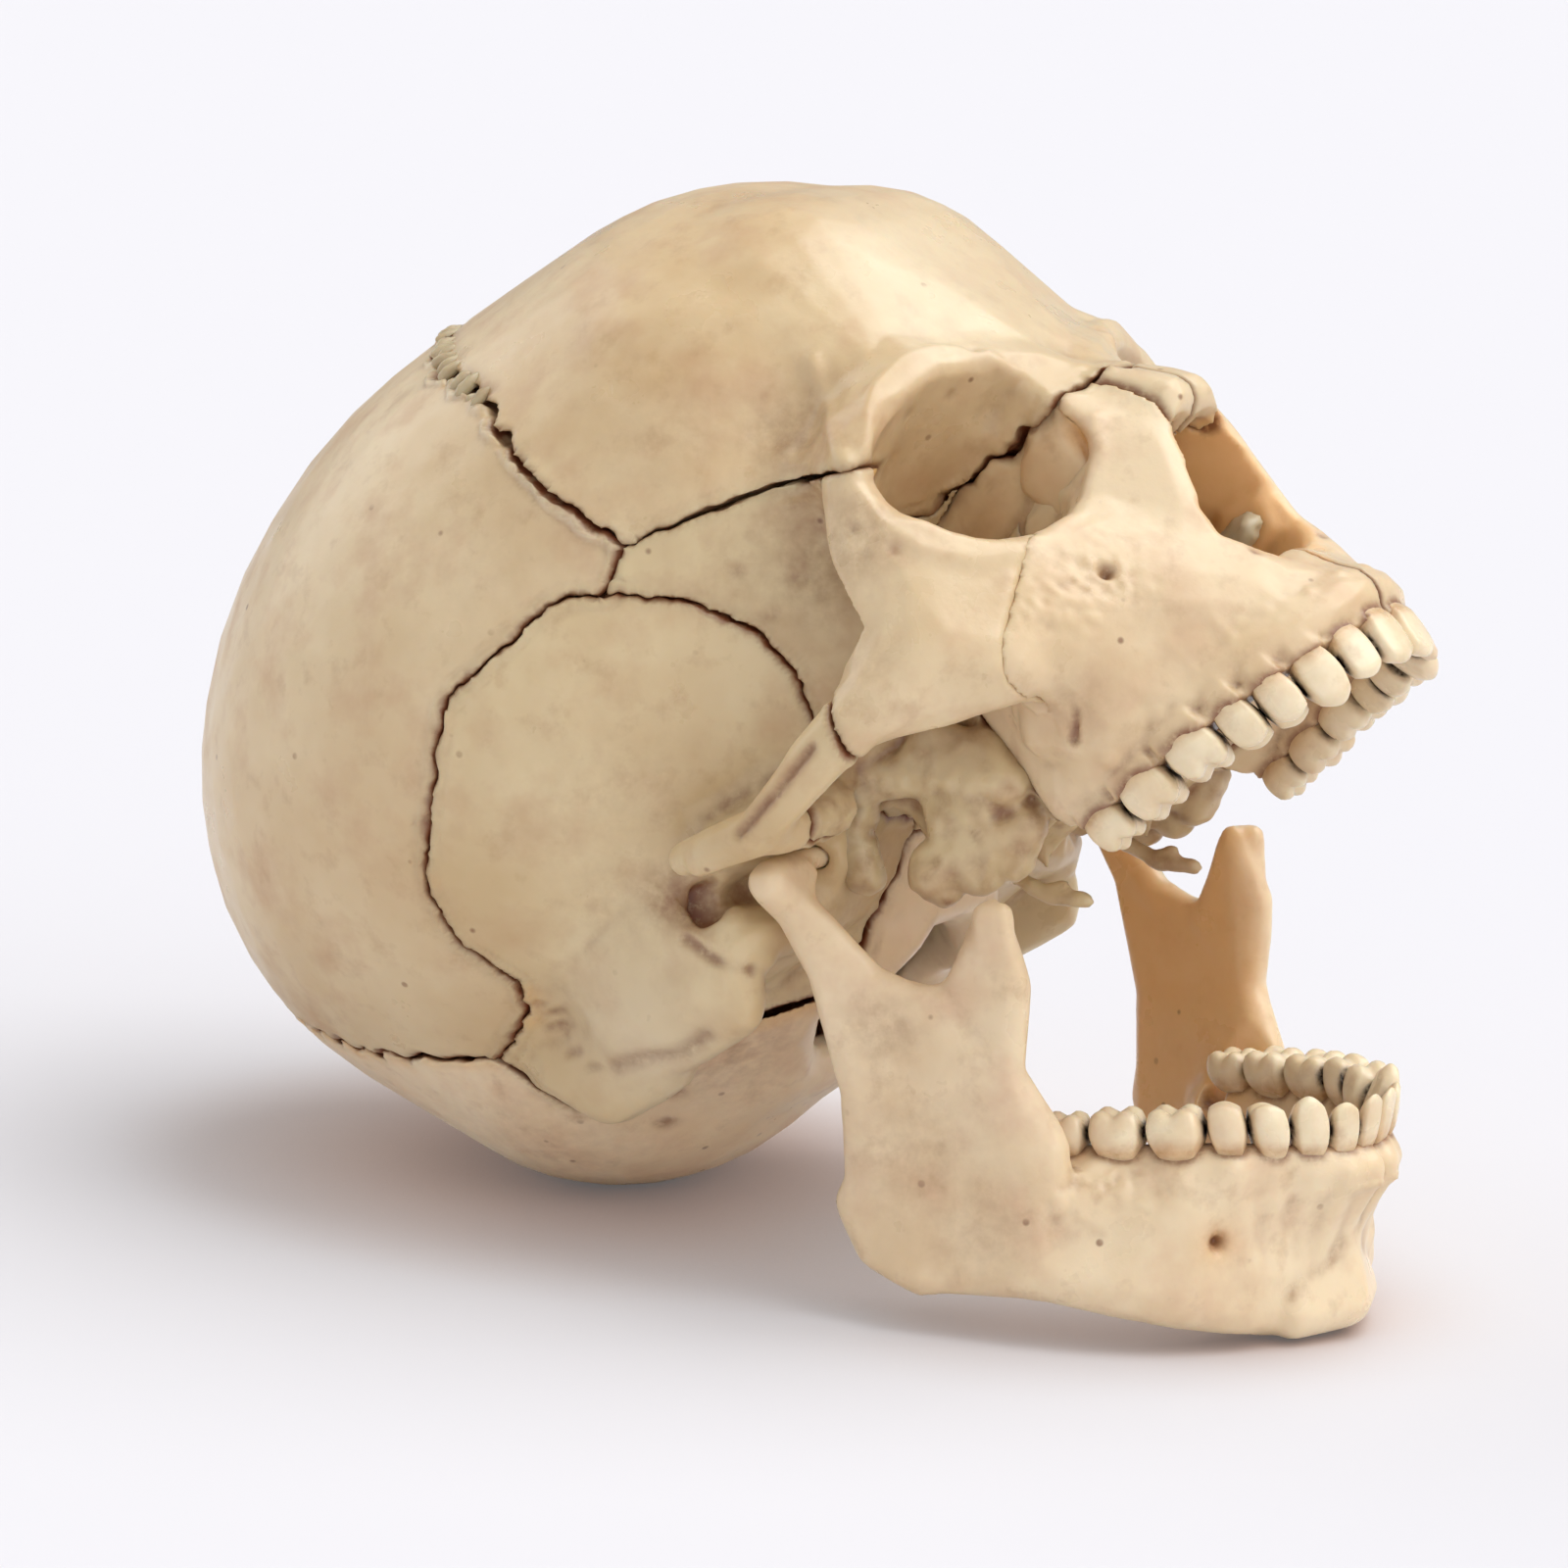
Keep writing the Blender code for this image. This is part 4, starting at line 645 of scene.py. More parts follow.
# Parietals
# The two side walls of the vault, moulded like the forehead. Each lifts off sideways, so each rides
# on its own body.
swellings = ((0.30, 0.78), (0.10, 0.86), (-0.20, 0.86), (-0.50, 0.72), (-0.68, 0.50))
for side_name, side in SIDES:
    node = "parietal_" + side_name
    other = "parietal_left" if side < 0 else "parietal_right"
    body = "vault_side_" + side_name
    parietal = worked(node, VAULT_GRAIN_MM, 0.62)
    parietal.meet(("frontal",), 0.24, 0.20, jag_mm=0.55, trough=0.9, ribbon=1.0)
    parietal.meet((other,), 0.12, 0.05, ink=0.7)
    parietal.meet(("temporal_" + side_name, "sphenoid"), 0.06, 0.16, jag_mm=0.50, trough=0.5)
    parietal.meet(("occipital",), 0.20, jag_mm=0.60)
    parietal.edge_line(CORONAL_TOP, 1.1, 0.30, ink=0.35, wash=0.85)
    # long low swellings and the faint upper temporal line
    parietal.line(swellings, 5.0, -0.18, reach=(0.3, 1.0))
    parietal.dent((0.16, 0.62, 0.60), 9.0, 0.30, wash=0.12)
    parietal.finish(node, body, ("dec7a0", "cbac7f", "c09672"), blotch_mm=22)
    finger_row("coronal_fingers_side_" + side_name, side, 1, node, body, 23)

# Occipital
# The back and underside of the skull, with the opening for the spine, in the palest plastic of all.
# Its rough muscle markings hold the stain in short dark strokes.
STROKES = 46
STROKE_SHARE = 0.018
occipital = worked("occipital", VAULT_GRAIN_MM, 0.70)
occipital.meet(both("parietal"), 0.20, jag_mm=0.60)
occipital.meet(both("temporal"), 0.36, jag_mm=0.40, trough=0.6)
occipital.meet(("sphenoid",), 0.20, 0.05)
flat = occipital.points[:, 2] < 0.25 * MM
chance = random.Random(5)
for _ in range(STROKES):
    x, z = chance.uniform(-0.50, -0.02), chance.uniform(-0.17, 0.0)
    lean = chance.uniform(-0.5, 0.5)
    stroke = ((x, z), (x + STROKE_SHARE * math.cos(lean), z + STROKE_SHARE * math.sin(lean)))
    occipital.line(stroke, 0.42, 0.16, ink=0.65, reach=(0.12, 0.50), facing=-0.5)
occipital.dent((-0.28, 0.28, -0.12), 7.0, 0.5, wash=0.55)
occipital.dent((-0.60, 0.24, 0.02), 10.0, 0.0, wash=0.35)
# the flat that it rests on stays flat
occipital.push[flat] = 0
occipital.finish("occipital", "cranium", ("f8e2bf", "eacca4", "dfb592"), amber_depth_mm=1.2)

# Temporals
# The thin fan on the side of the vault, the root of the cheek arch, the ear opening and the lobe
# behind it. Each is one moulding, fixed to the bones round it.
cracks = ((-0.060, 0.549, -0.070), (-0.045, 0.548, -0.130), (-0.020, 0.520, -0.183))
arch_groove = ((0.400, 0.655, -0.062), (0.300, 0.665, -0.068), (0.200, 0.650, -0.062))
arch_shadow = (
    (0.165, 0.515, 0.020), (0.090, 0.530, 0.045), (0.030, 0.545, 0.045), (0.005, 0.530, 0.020),
)
folds = ((-0.160, 0.530, -0.200), (-0.225, 0.515, -0.185), (-0.279, 0.517, -0.144), (-0.342, 0.509, -0.109))
lobe_ridge = ((-0.120, 0.540, -0.140), (-0.220, 0.540, -0.110), (-0.300, 0.530, -0.070))
nicks = (
    (-0.389, 0.522, 0.061), (-0.402, 0.495, 0.023), (-0.375, 0.505, 0.035), (-0.405, 0.491, -0.029),
    (-0.389, 0.498, -0.073),
)
for side_name, side in SIDES:
    node = "temporal_" + side_name
    parts = balls_of(side, (
        ((0.205, 0.615, -0.070, 0.040), (0.120, 0.595, -0.030, 0.036)),
        ((0.120, 0.595, -0.030, 0.036), (0.052, 0.572, 0.004, 0.030)),
        ((-0.010, 0.500, -0.110, 0.043), (-0.014, 0.480, -0.158, 0.034)),
    ))
    temporal = worked(node, FACE_GRAIN_MM, 0.75, parts)
    temporal.meet(("parietal_" + side_name,), 0.06, 0.16, jag_mm=0.50, trough=0.4)
    temporal.meet(("sphenoid",), 0.08, jag_mm=0.40)
    temporal.meet(("occipital",), 0.36, jag_mm=0.40, trough=0.6)
    temporal.meet(("zygomatic_" + side_name,), 0.14, ink=0.9)
    # the ear opening, a deep stained pit under the root of the arch, and the cracks below it
    temporal.dent((-0.015, 0.525, -0.040), 1.8, 2.2, ink=1.0, wash=1.0)
    temporal.dent((-0.045, 0.530, 0.000), 2.6, 0.4, wash=0.9)
    temporal.edge_line(cracks, 0.42, 0.35, ink=0.8)
    # the groove along the arch, and the shadow line above its free end
    temporal.edge_line(arch_groove, 0.45, 0.50, wash=0.9, ink=0.6)
    temporal.edge_line(arch_shadow, 0.40, 0.45, wash=0.9, ink=0.85)
    # folds, ridge and nicks of the lobe behind the ear
    temporal.edge_line(folds, 0.8, 0.50, wash=0.75, ink=0.30)
    temporal.edge_line(lobe_ridge, 1.8, -0.55)
    for x, y, z in nicks:
        temporal.edge_line(((x, y, z), (x + 0.022, y, z - 0.014)), 0.40, 0.20, ink=0.35)
    temporal.dent((-0.30, 0.50, 0.00), 5.0, 0.30, wash=0.15)
    temporal.dent((0.05, 0.60, 0.15), 9.0, 0.0, wash=0.15)
    temporal.dent((-0.10, 0.55, 0.05), 5.0, 0.0, wash=0.25)
    # painted light: the outer face of the lobe is painted paler than the fan, as if lit from the floor
    # below
    away = (temporal.shares - (-0.25, 0.0, -0.13)) * (1, 0, 1)
    temporal.stain("pale", np.exp(-(away**2).sum(1) / 0.02) * (temporal.outward > 0) * 0.40)
    colours = ("dcc69c", "cbae80", "c09a72")
    temporal.finish(node, "cranium", colours, amber_depth_mm=1.2, blotch_mm=20)

# Sphenoid
# The wing at the temple and the plates that hang below it, seen behind the jaw. It is one moulding,
# greyer than its neighbours, and rough and lobed underneath.
parts = []
for side in (-1, 1):
    parts += balls_of(side, (
        # the mass below the wing
        ((0.275, 0.350, -0.060, 0.036), (0.182, 0.345, -0.105, 0.032)),
        ((0.182, 0.345, -0.105, 0.032), (0.146, 0.335, -0.172, 0.032)),
        ((0.265, 0.345, -0.065, 0.036), (0.330, 0.320, -0.115, 0.040)),
        ((0.330, 0.320, -0.115, 0.040), (0.400, 0.315, -0.195, 0.045), (0.440, 0.320, -0.235, 0.040)),
        ((0.320, 0.320, -0.200, 0.040), (0.360, 0.320, -0.245, 0.045),
         (0.400, 0.315, -0.195, 0.045), (0.340, 0.315, -0.150, 0.034)),
        ((0.290, 0.325, -0.225, 0.034), (0.236, 0.330, -0.268, 0.038)),
        ((0.290, 0.325, -0.225, 0.034), (0.295, 0.315, -0.300, 0.040), (0.360, 0.310, -0.275, 0.045)),
        ((0.360, 0.310, -0.275, 0.045), (0.345, 0.300, -0.320, 0.036), (0.400, 0.300, -0.300, 0.040)),
        ((0.330, 0.320, -0.115, 0.040), (0.440, 0.320, -0.235, 0.040),
         (0.385, 0.325, -0.085, 0.026), (0.450, 0.310, -0.170, 0.028)),
        ((0.236, 0.330, -0.250, 0.046), (0.250, 0.330, -0.225, 0.034), (0.300, 0.315, -0.255, 0.045)),
        # the wing's edge in the eye socket
        ((0.400, 0.506, 0.372, 0.020), (0.450, 0.485, 0.351, 0.020)),
        ((0.450, 0.485, 0.351, 0.020), (0.520, 0.464, 0.326, 0.020), (0.575, 0.458, 0.297, 0.018)),
        # the hooks
        ((0.264, 0.180, -0.310, 0.014), (0.290, 0.180, -0.372, 0.015)),
        ((0.290, 0.180, -0.372, 0.014), (0.331, 0.180, -0.420, 0.012)),
        ((0.288, 0.180, -0.360, 0.012), (0.322, 0.180, -0.374, 0.010)),
    ))
sphenoid = worked("sphenoid", grain_mm=0.34, rounding_mm=0.65, parts=parts)
sphenoid.meet(("frontal",), 0.04, 0.06, ink=0.7, jag_mm=0.25)
sphenoid.meet(both("temporal"), 0.08, jag_mm=0.40, trough=0.5)
sphenoid.meet(both("parietal"), 0.08, jag_mm=0.50)
sphenoid.meet(both("zygomatic", "maxilla"), 0.14, 0.04)
sphenoid.dent((0.44, 0.48, 0.24), 6.0, 0.3, wash=0.25)
sphenoid.dent((0.51, 0.44, 0.19), 4.5, 0.0, wash=0.60)
sphenoid.dent((0.60, 0.48, 0.27), 3.5, 0.0, wash=0.6)
for x, z in ((0.42, 0.27), (0.36, 0.24), (0.47, 0.20), (0.40, 0.19)):
    sphenoid.line(((x, z), (x + 0.008, z - 0.006)), 0.5, 0.18, ink=0.35, reach=(0.30, 0.62))
# the hole through the plates, and their rough, stained skin
sphenoid.dent((0.256, 0.335, -0.165), 1.1, 0.9, ink=0.9, wash=1.0)
length, _, height = sphenoid.shares.T
under = np.clip((-0.02 - height) / 0.06, 0, 1) * np.clip((length - 0.08) / 0.05, 0, 1)
lobes = ripple(sphenoid.points, 2.6) * 0.30 + ripple(sphenoid.points, 1.1, 4.0) * 0.14
sphenoid.push += lobes * under * MM
sphenoid.stain("wash", np.clip(ripple(sphenoid.points, 1.7, 9.0) * 1.3, 0, 0.55) * under)
sphenoid.stain("ink", np.clip((ripple(sphenoid.points, 0.9, 6.0) - 0.42) * 3.0, 0, 0.8) * under)
sphenoid.finish("sphenoid", "cranium", ("d8c297", "c0a178", "ad8160"))

# Zygomatics
# The cheek bones: a smooth four-cornered moulding between the eye socket, the arch and the upper
# jaw, fixed to all three.
rim = (
    (0.690, 0.525, 0.190), (0.680, 0.520, 0.130), (0.691, 0.502, 0.061), (0.720, 0.458, 0.005),
    (0.767, 0.378, -0.031),
)
for side_name, side in SIDES:
    node = "zygomatic_" + side_name
    zygomatic = worked(node, FACE_GRAIN_MM, 0.75)
    # the foot that goes under the upper jaw's cheek root sinks out of sight
    low = np.clip((-0.150 - zygomatic.shares[:, 2]) / 0.03, 0, 1)
    foot = np.clip((0.415 - zygomatic.breadth) / 0.03, 0, 1) * low
    zygomatic.points[:, 1] -= zygomatic.side * foot * 2.4 * MM
    zygomatic.meet(("frontal",), 0.16, ink=0.8)
    zygomatic.meet(("sphenoid",), 0.14, 0.04)
    zygomatic.meet(("temporal_" + side_name,), 0.16, ink=0.9)
    zygomatic.meet(("maxilla_" + side_name,), -0.06, 0.0, ink=0.0)
    zygomatic.edge_line(rim, 0.9, -0.30)
    zygomatic.dent((0.644, 0.541, 0.154), 0.5, 0.25, ink=0.35)
    zygomatic.dent((0.669, 0.528, 0.086), 0.6, 0.22, ink=0.35, wash=0.5)
    zygomatic.dent((0.630, 0.545, 0.110), 0.5, 0.15, wash=0.5)
    zygomatic.dent((0.543, 0.614, -0.020), 3.2, 0.40, wash=0.30)
    zygomatic.dent((0.600, 0.560, -0.090), 4.5, -0.35)
    # the upper part of the cheek bone is darkened with a flat brown tint
    zygomatic.dent((0.640, 0.540, 0.140), 4.0, 0.0, wash=0.50)
    colours = ("e0c9a2", "cfb288", "c29876")
    zygomatic.finish(node, "cranium", colours, amber_depth_mm=1.2, rough=(0.22, 0.38))


# Maxillae and upper teeth
# The upper jaw, in two halves. The tooth crowns are moulded in one with it on the real kit and are
# modelled here as pieces of their own, set into the gum, so that they can have their true shapes.
Row = namedtuple("Row", "arch widths lean rise_mm upward place")
UPPER = Row(
    arch=(
        (0.958, 0.000, -0.420), (0.952, 0.060, -0.420), (0.920, 0.125, -0.420), (0.860, 0.185, -0.412),
        (0.780, 0.235, -0.400), (0.690, 0.268, -0.385), (0.590, 0.290, -0.380), (0.480, 0.300, -0.375),
    ),
    widths=(0.125, 0.105, 0.120, 0.110, 0.110, 0.155, 0.150, 0.125),
    lean=(0.05, 0.05, 0.0, -0.05, -0.10, -0.10, -0.10, -0.10),
    rise_mm=4.5,
    upward=-1,
    place=cranium_place,
)
CANINE, FIRST_PREMOLAR, FIRST_MOLAR = 2, 3, 5
CROWN_DEPTHS = (0.78, 0.84, 1.00, 1.20, 1.20, 1.05, 1.05, 1.00)
CROWN_HEIGHTS = (1.00, 0.94, 1.02, 0.92, 0.90, 0.88, 0.86, 0.78)
CROWN_OVERLAP = 1.02
CROWN_ROUNDING = 0.60
ROOT_SHARE = 0.34
GUM_CLEAR = 0.006
GUM_INK_MM = 0.32
NECK_BALL, GUM_BALL, CREST_BALL = 0.028, 0.026, 0.022
TEAR_GROOVE_SQUASH = (0.7, 1, 1.9)
ROUGH_MM = 0.22


def crown_places(row):
    """Middle, outward direction, direction along the arch and width of each crown of half a jaw."""
    path = [Vector(share) for share in row.arch]
    lengths = [(b - a).length for a, b in zip(path, path[1:])]
    scale = sum(lengths) / sum(row.widths)
    reach = 0.0
    result = []
    for width in row.widths:
        middle = reach + width * scale / 2
        reach += width * scale
        index = 0
        while middle > lengths[index] and index < len(lengths) - 1:
            middle -= lengths[index]
            index += 1
        along = (path[index + 1] - path[index]).normalized()
        outward = Vector((along.y, -along.x, 0)).normalized()
        result.append((path[index] + along * middle, outward, along, width * scale))
    return result


def crown_shape(index, a, b, t):
    """How a rounded block becomes a crown. a runs along the arch, b outwards, t from root to edge."""
    neck = 0.62 + 0.38 * math.sin(min(1.0, t * 1.45) * math.pi / 2)
    wide = neck * (1 - (0.22 if index == CANINE else 0.06) * max(0.0, t - 0.7) / 0.3)
    if index < FIRST_PREMOLAR:
        deep = (1.0 - 0.55 * max(0.0, t - 0.30) / 0.70) * min(1.0, 0.62 + 1.3 * t)
        return a * wide, b * deep, t + (0.06 if index == CANINE else 0.02) * (1 - a * a)
    waist = 0.90 + 0.14 * math.sin(t * math.pi) - 0.10 * max(0.0, t - 0.75) / 0.25
    deep = waist * min(1.0, 0.66 + 1.2 * t)
    lift = 0.05 * (1 - a * a)
    if index >= FIRST_MOLAR:
        lift = -0.05 * math.cos(a * math.pi * 2) - 0.08 * math.exp(-((a / 0.16) ** 2))
    lift -= 0.15 * math.exp(-((b / 0.30) ** 2))
    return a * wide, b * deep, t + lift * max(0.0, t - 0.55) / 0.45


def crown_row(name, row, side, node, body):
    """The eight crowns of one quarter, each its own closed body, joined in one mesh."""
    bm = bmesh.new()
    ends = [0]
    for index, (spot, outward, along, width) in enumerate(crown_places(row)):
        block = bmesh.new()
        bmesh.ops.create_cube(block, size=2)
        bmesh.ops.subdivide_edges(block, edges=block.edges[:], cuts=9, use_grid_fill=True)
        half = width * SHARE / 2 * CROWN_OVERLAP
        depth = half * CROWN_DEPTHS[index]
        height = row.rise_mm * MM * CROWN_HEIGHTS[index]
        for vertex in block.verts:
            soft = vertex.co.lerp(vertex.co.normalized(), CROWN_ROUNDING)
            a, b, t = crown_shape(index, soft.x, soft.y, (soft.z + 1) / 2)
            rooted = -ROOT_SHARE + (1 + ROOT_SHARE) * t
            upright = Vector((0, 0, row.upward * height * rooted))
            local = along * (a * half) + outward * (b * depth) + upright
            local += outward * (row.lean[index] * height * rooted)
            point = spot * SHARE + local
            vertex.co = row.place @ Vector((point.x, side * point.y, point.z))
        axes = {"use_axis_x": True, "use_axis_y": True, "use_axis_z": True}
        bmesh.ops.smooth_vert(block, verts=block.verts[:], factor=0.5, **axes)
        bmesh.ops.recalc_face_normals(block, faces=block.faces[:])
        pour(block, bm)
        ends.append(len(bm.verts))
    thing = as_object(name, bm)
    teeth = Bone(thing, row.place)
    # painted shade: near-black ink in the narrow gaps between neighbouring crowns; a brown tint beside
    # the gaps and at the necks, and a painted glow of light through the plastic at the necks
    for index, (low, high) in enumerate(zip(ends, ends[1:])):
        beside = [k for k in (index - 1, index + 1) if 0 <= k < len(ends) - 1]
        others = np.concatenate([teeth.points[ends[k] : ends[k + 1]] for k in beside])
        own = teeth.points[low:high]
        gap = np.sqrt(((own[:, None] - others[None]) ** 2).sum(2)).min(1) / MM
        teeth.marks["ink"][low:high] = np.clip((0.55 - gap) / 0.20, 0, 1)
        teeth.marks["wash"][low:high] = np.clip((0.95 - gap) / 0.5, 0, 1) * 0.5
    lengths, _, heights = zip(*reversed(row.arch))
    from_neck = np.abs(teeth.shares[:, 2] - np.interp(teeth.shares[:, 0], lengths, heights)) * SHARE
    teeth.stain("wash", np.clip(1 - from_neck / (1.1 * MM), 0, 1) * 0.7)
    teeth.stain("amber", np.clip(1 - from_neck / (1.4 * MM), 0, 1) * 0.35)
    hang(thing, teeth.marks, tooth_plastic, node, body)
    faces = [tuple(face.vertices) for face in thing.data.polygons]
    return BVHTree.FromPolygons([vertex.co for vertex in thing.data.vertices], faces)


def without_upper_crowns(node):
    """A copy of half the upper jaw with its plain crowns cut off and its gum closed."""
    bm = merged_copy(node)
    front, rear = Vector(UPPER.arch[0]), Vector(UPPER.arch[-1])
    level = Vector((front.x, 0, front.z - GUM_CLEAR)), Vector((rear.x, 0, rear.z - GUM_CLEAR))
    along = (level[1] - level[0]).normalized()
    down = cranium_place.to_3x3() @ Vector((-along.z, 0, along.x))
    geometry = bm.verts[:] + bm.edges[:] + bm.faces[:]
    start = spot_of(level[0])
    bmesh.ops.bisect_plane(bm, geom=geometry, plane_co=start, plane_no=down, clear_outer=True)
    bmesh.ops.holes_fill(bm, edges=[edge for edge in bm.edges if edge.is_boundary])
    bmesh.ops.recalc_face_normals(bm, faces=bm.faces[:])
    return bm


def ink_round_crowns(bone, crowns):
    """Painted shade where the gum meets the crowns: dark ink in the narrow gap, and a brown tint just
    beyond it.
    """
    gap = np.full(bone.count, 9.0)
    for index in np.nonzero(bone.breadth < 0.40)[0]:
        found = crowns.find_nearest(Vector(bone.points[index]), 2 * GUM_INK_MM * MM)
        if found[3] is not None:
            gap[index] = found[3] / MM
    bone.stain("ink", np.clip((GUM_INK_MM - gap) / (GUM_INK_MM * 0.7), 0, 1) * 0.95)
    bone.stain("wash", np.clip((2 * GUM_INK_MM - gap) / GUM_INK_MM, 0, 1) * 0.5)


def roots(row, length, side, node, both_sides=False):
    """Balls for the bulge of the bone over each root, and for the ridge of gum between the teeth."""
    skin = tree_of((node,))
    groups, sheets = [], []
    for index, (spot, outward, along, width) in enumerate(crown_places(row)):
        half = width / 2
        tall = length * (1.2 if index == CANINE else 1.0 if index < FIRST_MOLAR else 0.7)
        sheet = []

        def at(share_out, down):
            share = spot + outward * share_out + Vector((0, 0, -row.upward * down))
            return spot_of((share.x, side * share.y, share.z), row.place)

        for way in (1, -1) if both_sides else (1,):
            out = (row.place.to_3x3() @ Vector((outward.x, side * outward.y, 0))).normalized() * way
            set_in = 0.024 * way if both_sides and index <= FIRST_PREMOLAR else 0.0
            reach = half * CROWN_DEPTHS[index] * 0.66 - set_in
            neck = (at(way * (reach - NECK_BALL), 0.034), NECK_BALL * SHARE)
            sheet.append((at(way * (reach - 0.040), 0.032), GUM_BALL * SHARE))
            sheet.append((at(0.0, 0.014), CREST_BALL * SHARE))
            for down, size, proud_mm in ((tall * 0.55, 0.62, 0.20), (tall, 0.40, 0.02)):
                hit = skin.ray_cast(at(way * 0.25, down), -out, 20 * MM)
                if hit[0] is not None:
                    round_mm = half * size * SHARE
                    groups.append([neck, (hit[0] - out * (round_mm - proud_mm * MM), round_mm)])
                    sheet.append((hit[0] - out * 0.030 * SHARE, GUM_BALL * SHARE))
        sheets.append(sheet)
    return groups + [first + second for first, second in zip(sheets, sheets[1:])]


ivory = ("f0dfbe", "e3cca4", "d8b692")
# the teeth's near-black ink is painted shade in the gaps between the crowns
tooth_plastic = stained_plastic("tooth_ivory_abs", ivory, rough=(0.20, 0.34), blotch_mm=5, ink="1c110c")
cheek_root = (
    ((0.640, 0.337, -0.150, 0.060), (0.600, 0.327, -0.270, 0.056),
     (0.660, 0.337, -0.230, 0.056), (0.560, 0.317, -0.230, 0.056)),
)
socket_rim = (
    (0.767, 0.378, -0.031), (0.799, 0.272, -0.014), (0.829, 0.210, 0.013), (0.862, 0.178, 0.050),
    (0.889, 0.149, 0.100),
)
nose_pits = ((0.980, 0.080, 0.020), (0.968, 0.088, -0.015), (0.955, 0.100, -0.050), (0.925, 0.115, -0.230))
for side_name, side in SIDES:
    node = "maxilla_" + side_name
    crowns = crown_row("upper_teeth_" + side_name, UPPER, side, node, "cranium")
    blank = without_upper_crowns(node)
    add_hulls(blank, roots(UPPER, 0.14, side, node))
    add_hulls(blank, balls_of(side, cheek_root))
    maxilla = Bone(rounded(node + "_bone", blank, grain_mm=0.30, rounding_mm=0.62))
    other = "maxilla_left" if side < 0 else "maxilla_right"
    maxilla.meet(("frontal",), 0.42, 0.06, jag_mm=0.6)
    maxilla.meet(("zygomatic_" + side_name,), -0.06, 0.0, ink=0.0)
    maxilla.meet((other,), 0.10, 0.04)
    maxilla.meet(("nasal_" + side_name,), 0.05, 0.0, ink=0.8)
    maxilla.meet(("lacrimal_" + side_name, "ethmoid"), 0.0, 0.0, ink=0.2)
    maxilla.meet(("palatine_" + side_name, "sphenoid"), 0.16, 0.04)
    # the foramen under the eye, with its rough margin, and the fossa over the canine root
    maxilla.dent((0.813, 0.312, -0.127), 0.55, 1.2, ink=0.9)
    maxilla.dent((0.800, 0.335, -0.135), 2.2, 0.25, wash=0.25)
    maxilla.dent((0.800, 0.300, -0.200), 3.6, 0.55, wash=0.15)
    maxilla.dent((0.660, 0.385, -0.260), 3.0, 0.75, wash=0.30)
    away = (maxilla.shares - (0.780, 0.0, -0.130)) * (1, 0, 1)
    rough = np.exp(-(away**2).sum(1) / 0.0045) * (maxilla.outward > 0.2)
    maxilla.push += ripple(maxilla.points, 0.9) * rough * ROUGH_MM * MM
    # the crease behind the cheek root
    crease = ((0.664, 0.380, -0.215), (0.640, 0.385, -0.262), (0.602, 0.375, -0.290))
    maxilla.edge_line(crease, 0.30, 0.45, ink=1.0, wash=0.5)
    # the rim of the eye socket, the tear groove behind it and the edge of the nose opening
    maxilla.edge_line(socket_rim, 0.9, -0.32)
    # the tear groove is stained brown and painted with a glow of light through its thin floor
    maxilla.dent((0.852, 0.160, 0.105), 1.2, 0.9, wash=0.7, amber=0.9, squash=TEAR_GROOVE_SQUASH)
    for centre in nose_pits:
        maxilla.dent(centre, 0.5, 0.3, ink=0.9)
    # painted glow: the inward faces of the nose opening are painted with light shining through their thin
    # walls
    nose = (maxilla.shares[:, 0] > 0.66) * (maxilla.shares[:, 2] > -0.30)
    maxilla.stain("amber", np.clip(-maxilla.outward * 2, 0, 1) * nose * 0.9)
    ink_round_crowns(maxilla, crowns)
    maxilla.finish(node, "cranium", ("e8d1ac", "d9bc92", "cfa784"), rough=(0.24, 0.42))

# Nasals
# The two narrow plates of the bridge of the nose, moulded thin enough to let light through. They are
# fixed to the forehead, the upper jaws and each other.
for side_name, side in SIDES:
    node = "nasal_" + side_name
    other = "nasal_left" if side < 0 else "nasal_right"
    nasal = worked(node, grain_mm=0.26, rounding_mm=0.6)
    nasal.meet(("frontal",), 0.36, 0.05, jag_mm=0.6)
    nasal.meet(("maxilla_" + side_name, other), 0.05, 0.0, ink=0.7)
    nasal.finish(node, "cranium", ("dfc8a2", "cdb088", "c39b77"), amber_depth_mm=2.0)

# Lacrimals
# The small plates of the tear duct, at the inner wall of each eye socket. Each is widened here to
# fill the space between the upper jaw's post, the forehead and the ethmoid.
for side_name, side in SIDES:
    node = "lacrimal_" + side_name
    plate = balls_of(side, (
        ((0.775, 0.125, 0.142, 0.034), (0.845, 0.118, 0.142, 0.034), (0.735, 0.125, 0.110, 0.034),
         (0.750, 0.128, 0.050, 0.034), (0.815, 0.135, 0.045, 0.034), (0.855, 0.130, 0.100, 0.034)),
        ((0.750, 0.128, 0.050, 0.034), (0.815, 0.140, 0.040, 0.034), (0.760, 0.150, 0.005, 0.030)),
    ))
    lacrimal = worked(node, grain_mm=0.26, rounding_mm=0.6, parts=plate)
    lacrimal.meet(("frontal",), 0.42, 0.05, jag_mm=0.6)
    # the tear groove is stained brown and painted with a glow of light through its thin floor
    lacrimal.dent((0.852, 0.160, 0.095), 1.2, 0.9, wash=0.7, amber=0.9, squash=TEAR_GROOVE_SQUASH)
    lacrimal.finish(node, "cranium", ("dec29a", "cba47a", "bd8d66"))

# Ethmoid
# The block between the eye sockets and the upper part of the wall that parts the nose, one moulding
# fixed under the forehead.
ethmoid = worked("ethmoid", grain_mm=0.30, rounding_mm=0.7)
ethmoid.meet(("frontal",), 0.42, 0.05, jag_mm=0.6)
ethmoid.meet(both("maxilla", "lacrimal") + ("sphenoid", "vomer"), 0.06, 0.0, ink=0.3)
ethmoid.dent((0.66, 0.14, 0.12), 3.0, -0.3)
ethmoid.finish("ethmoid", "cranium", ("e0c8a0", "cfb086", "bd946c"))

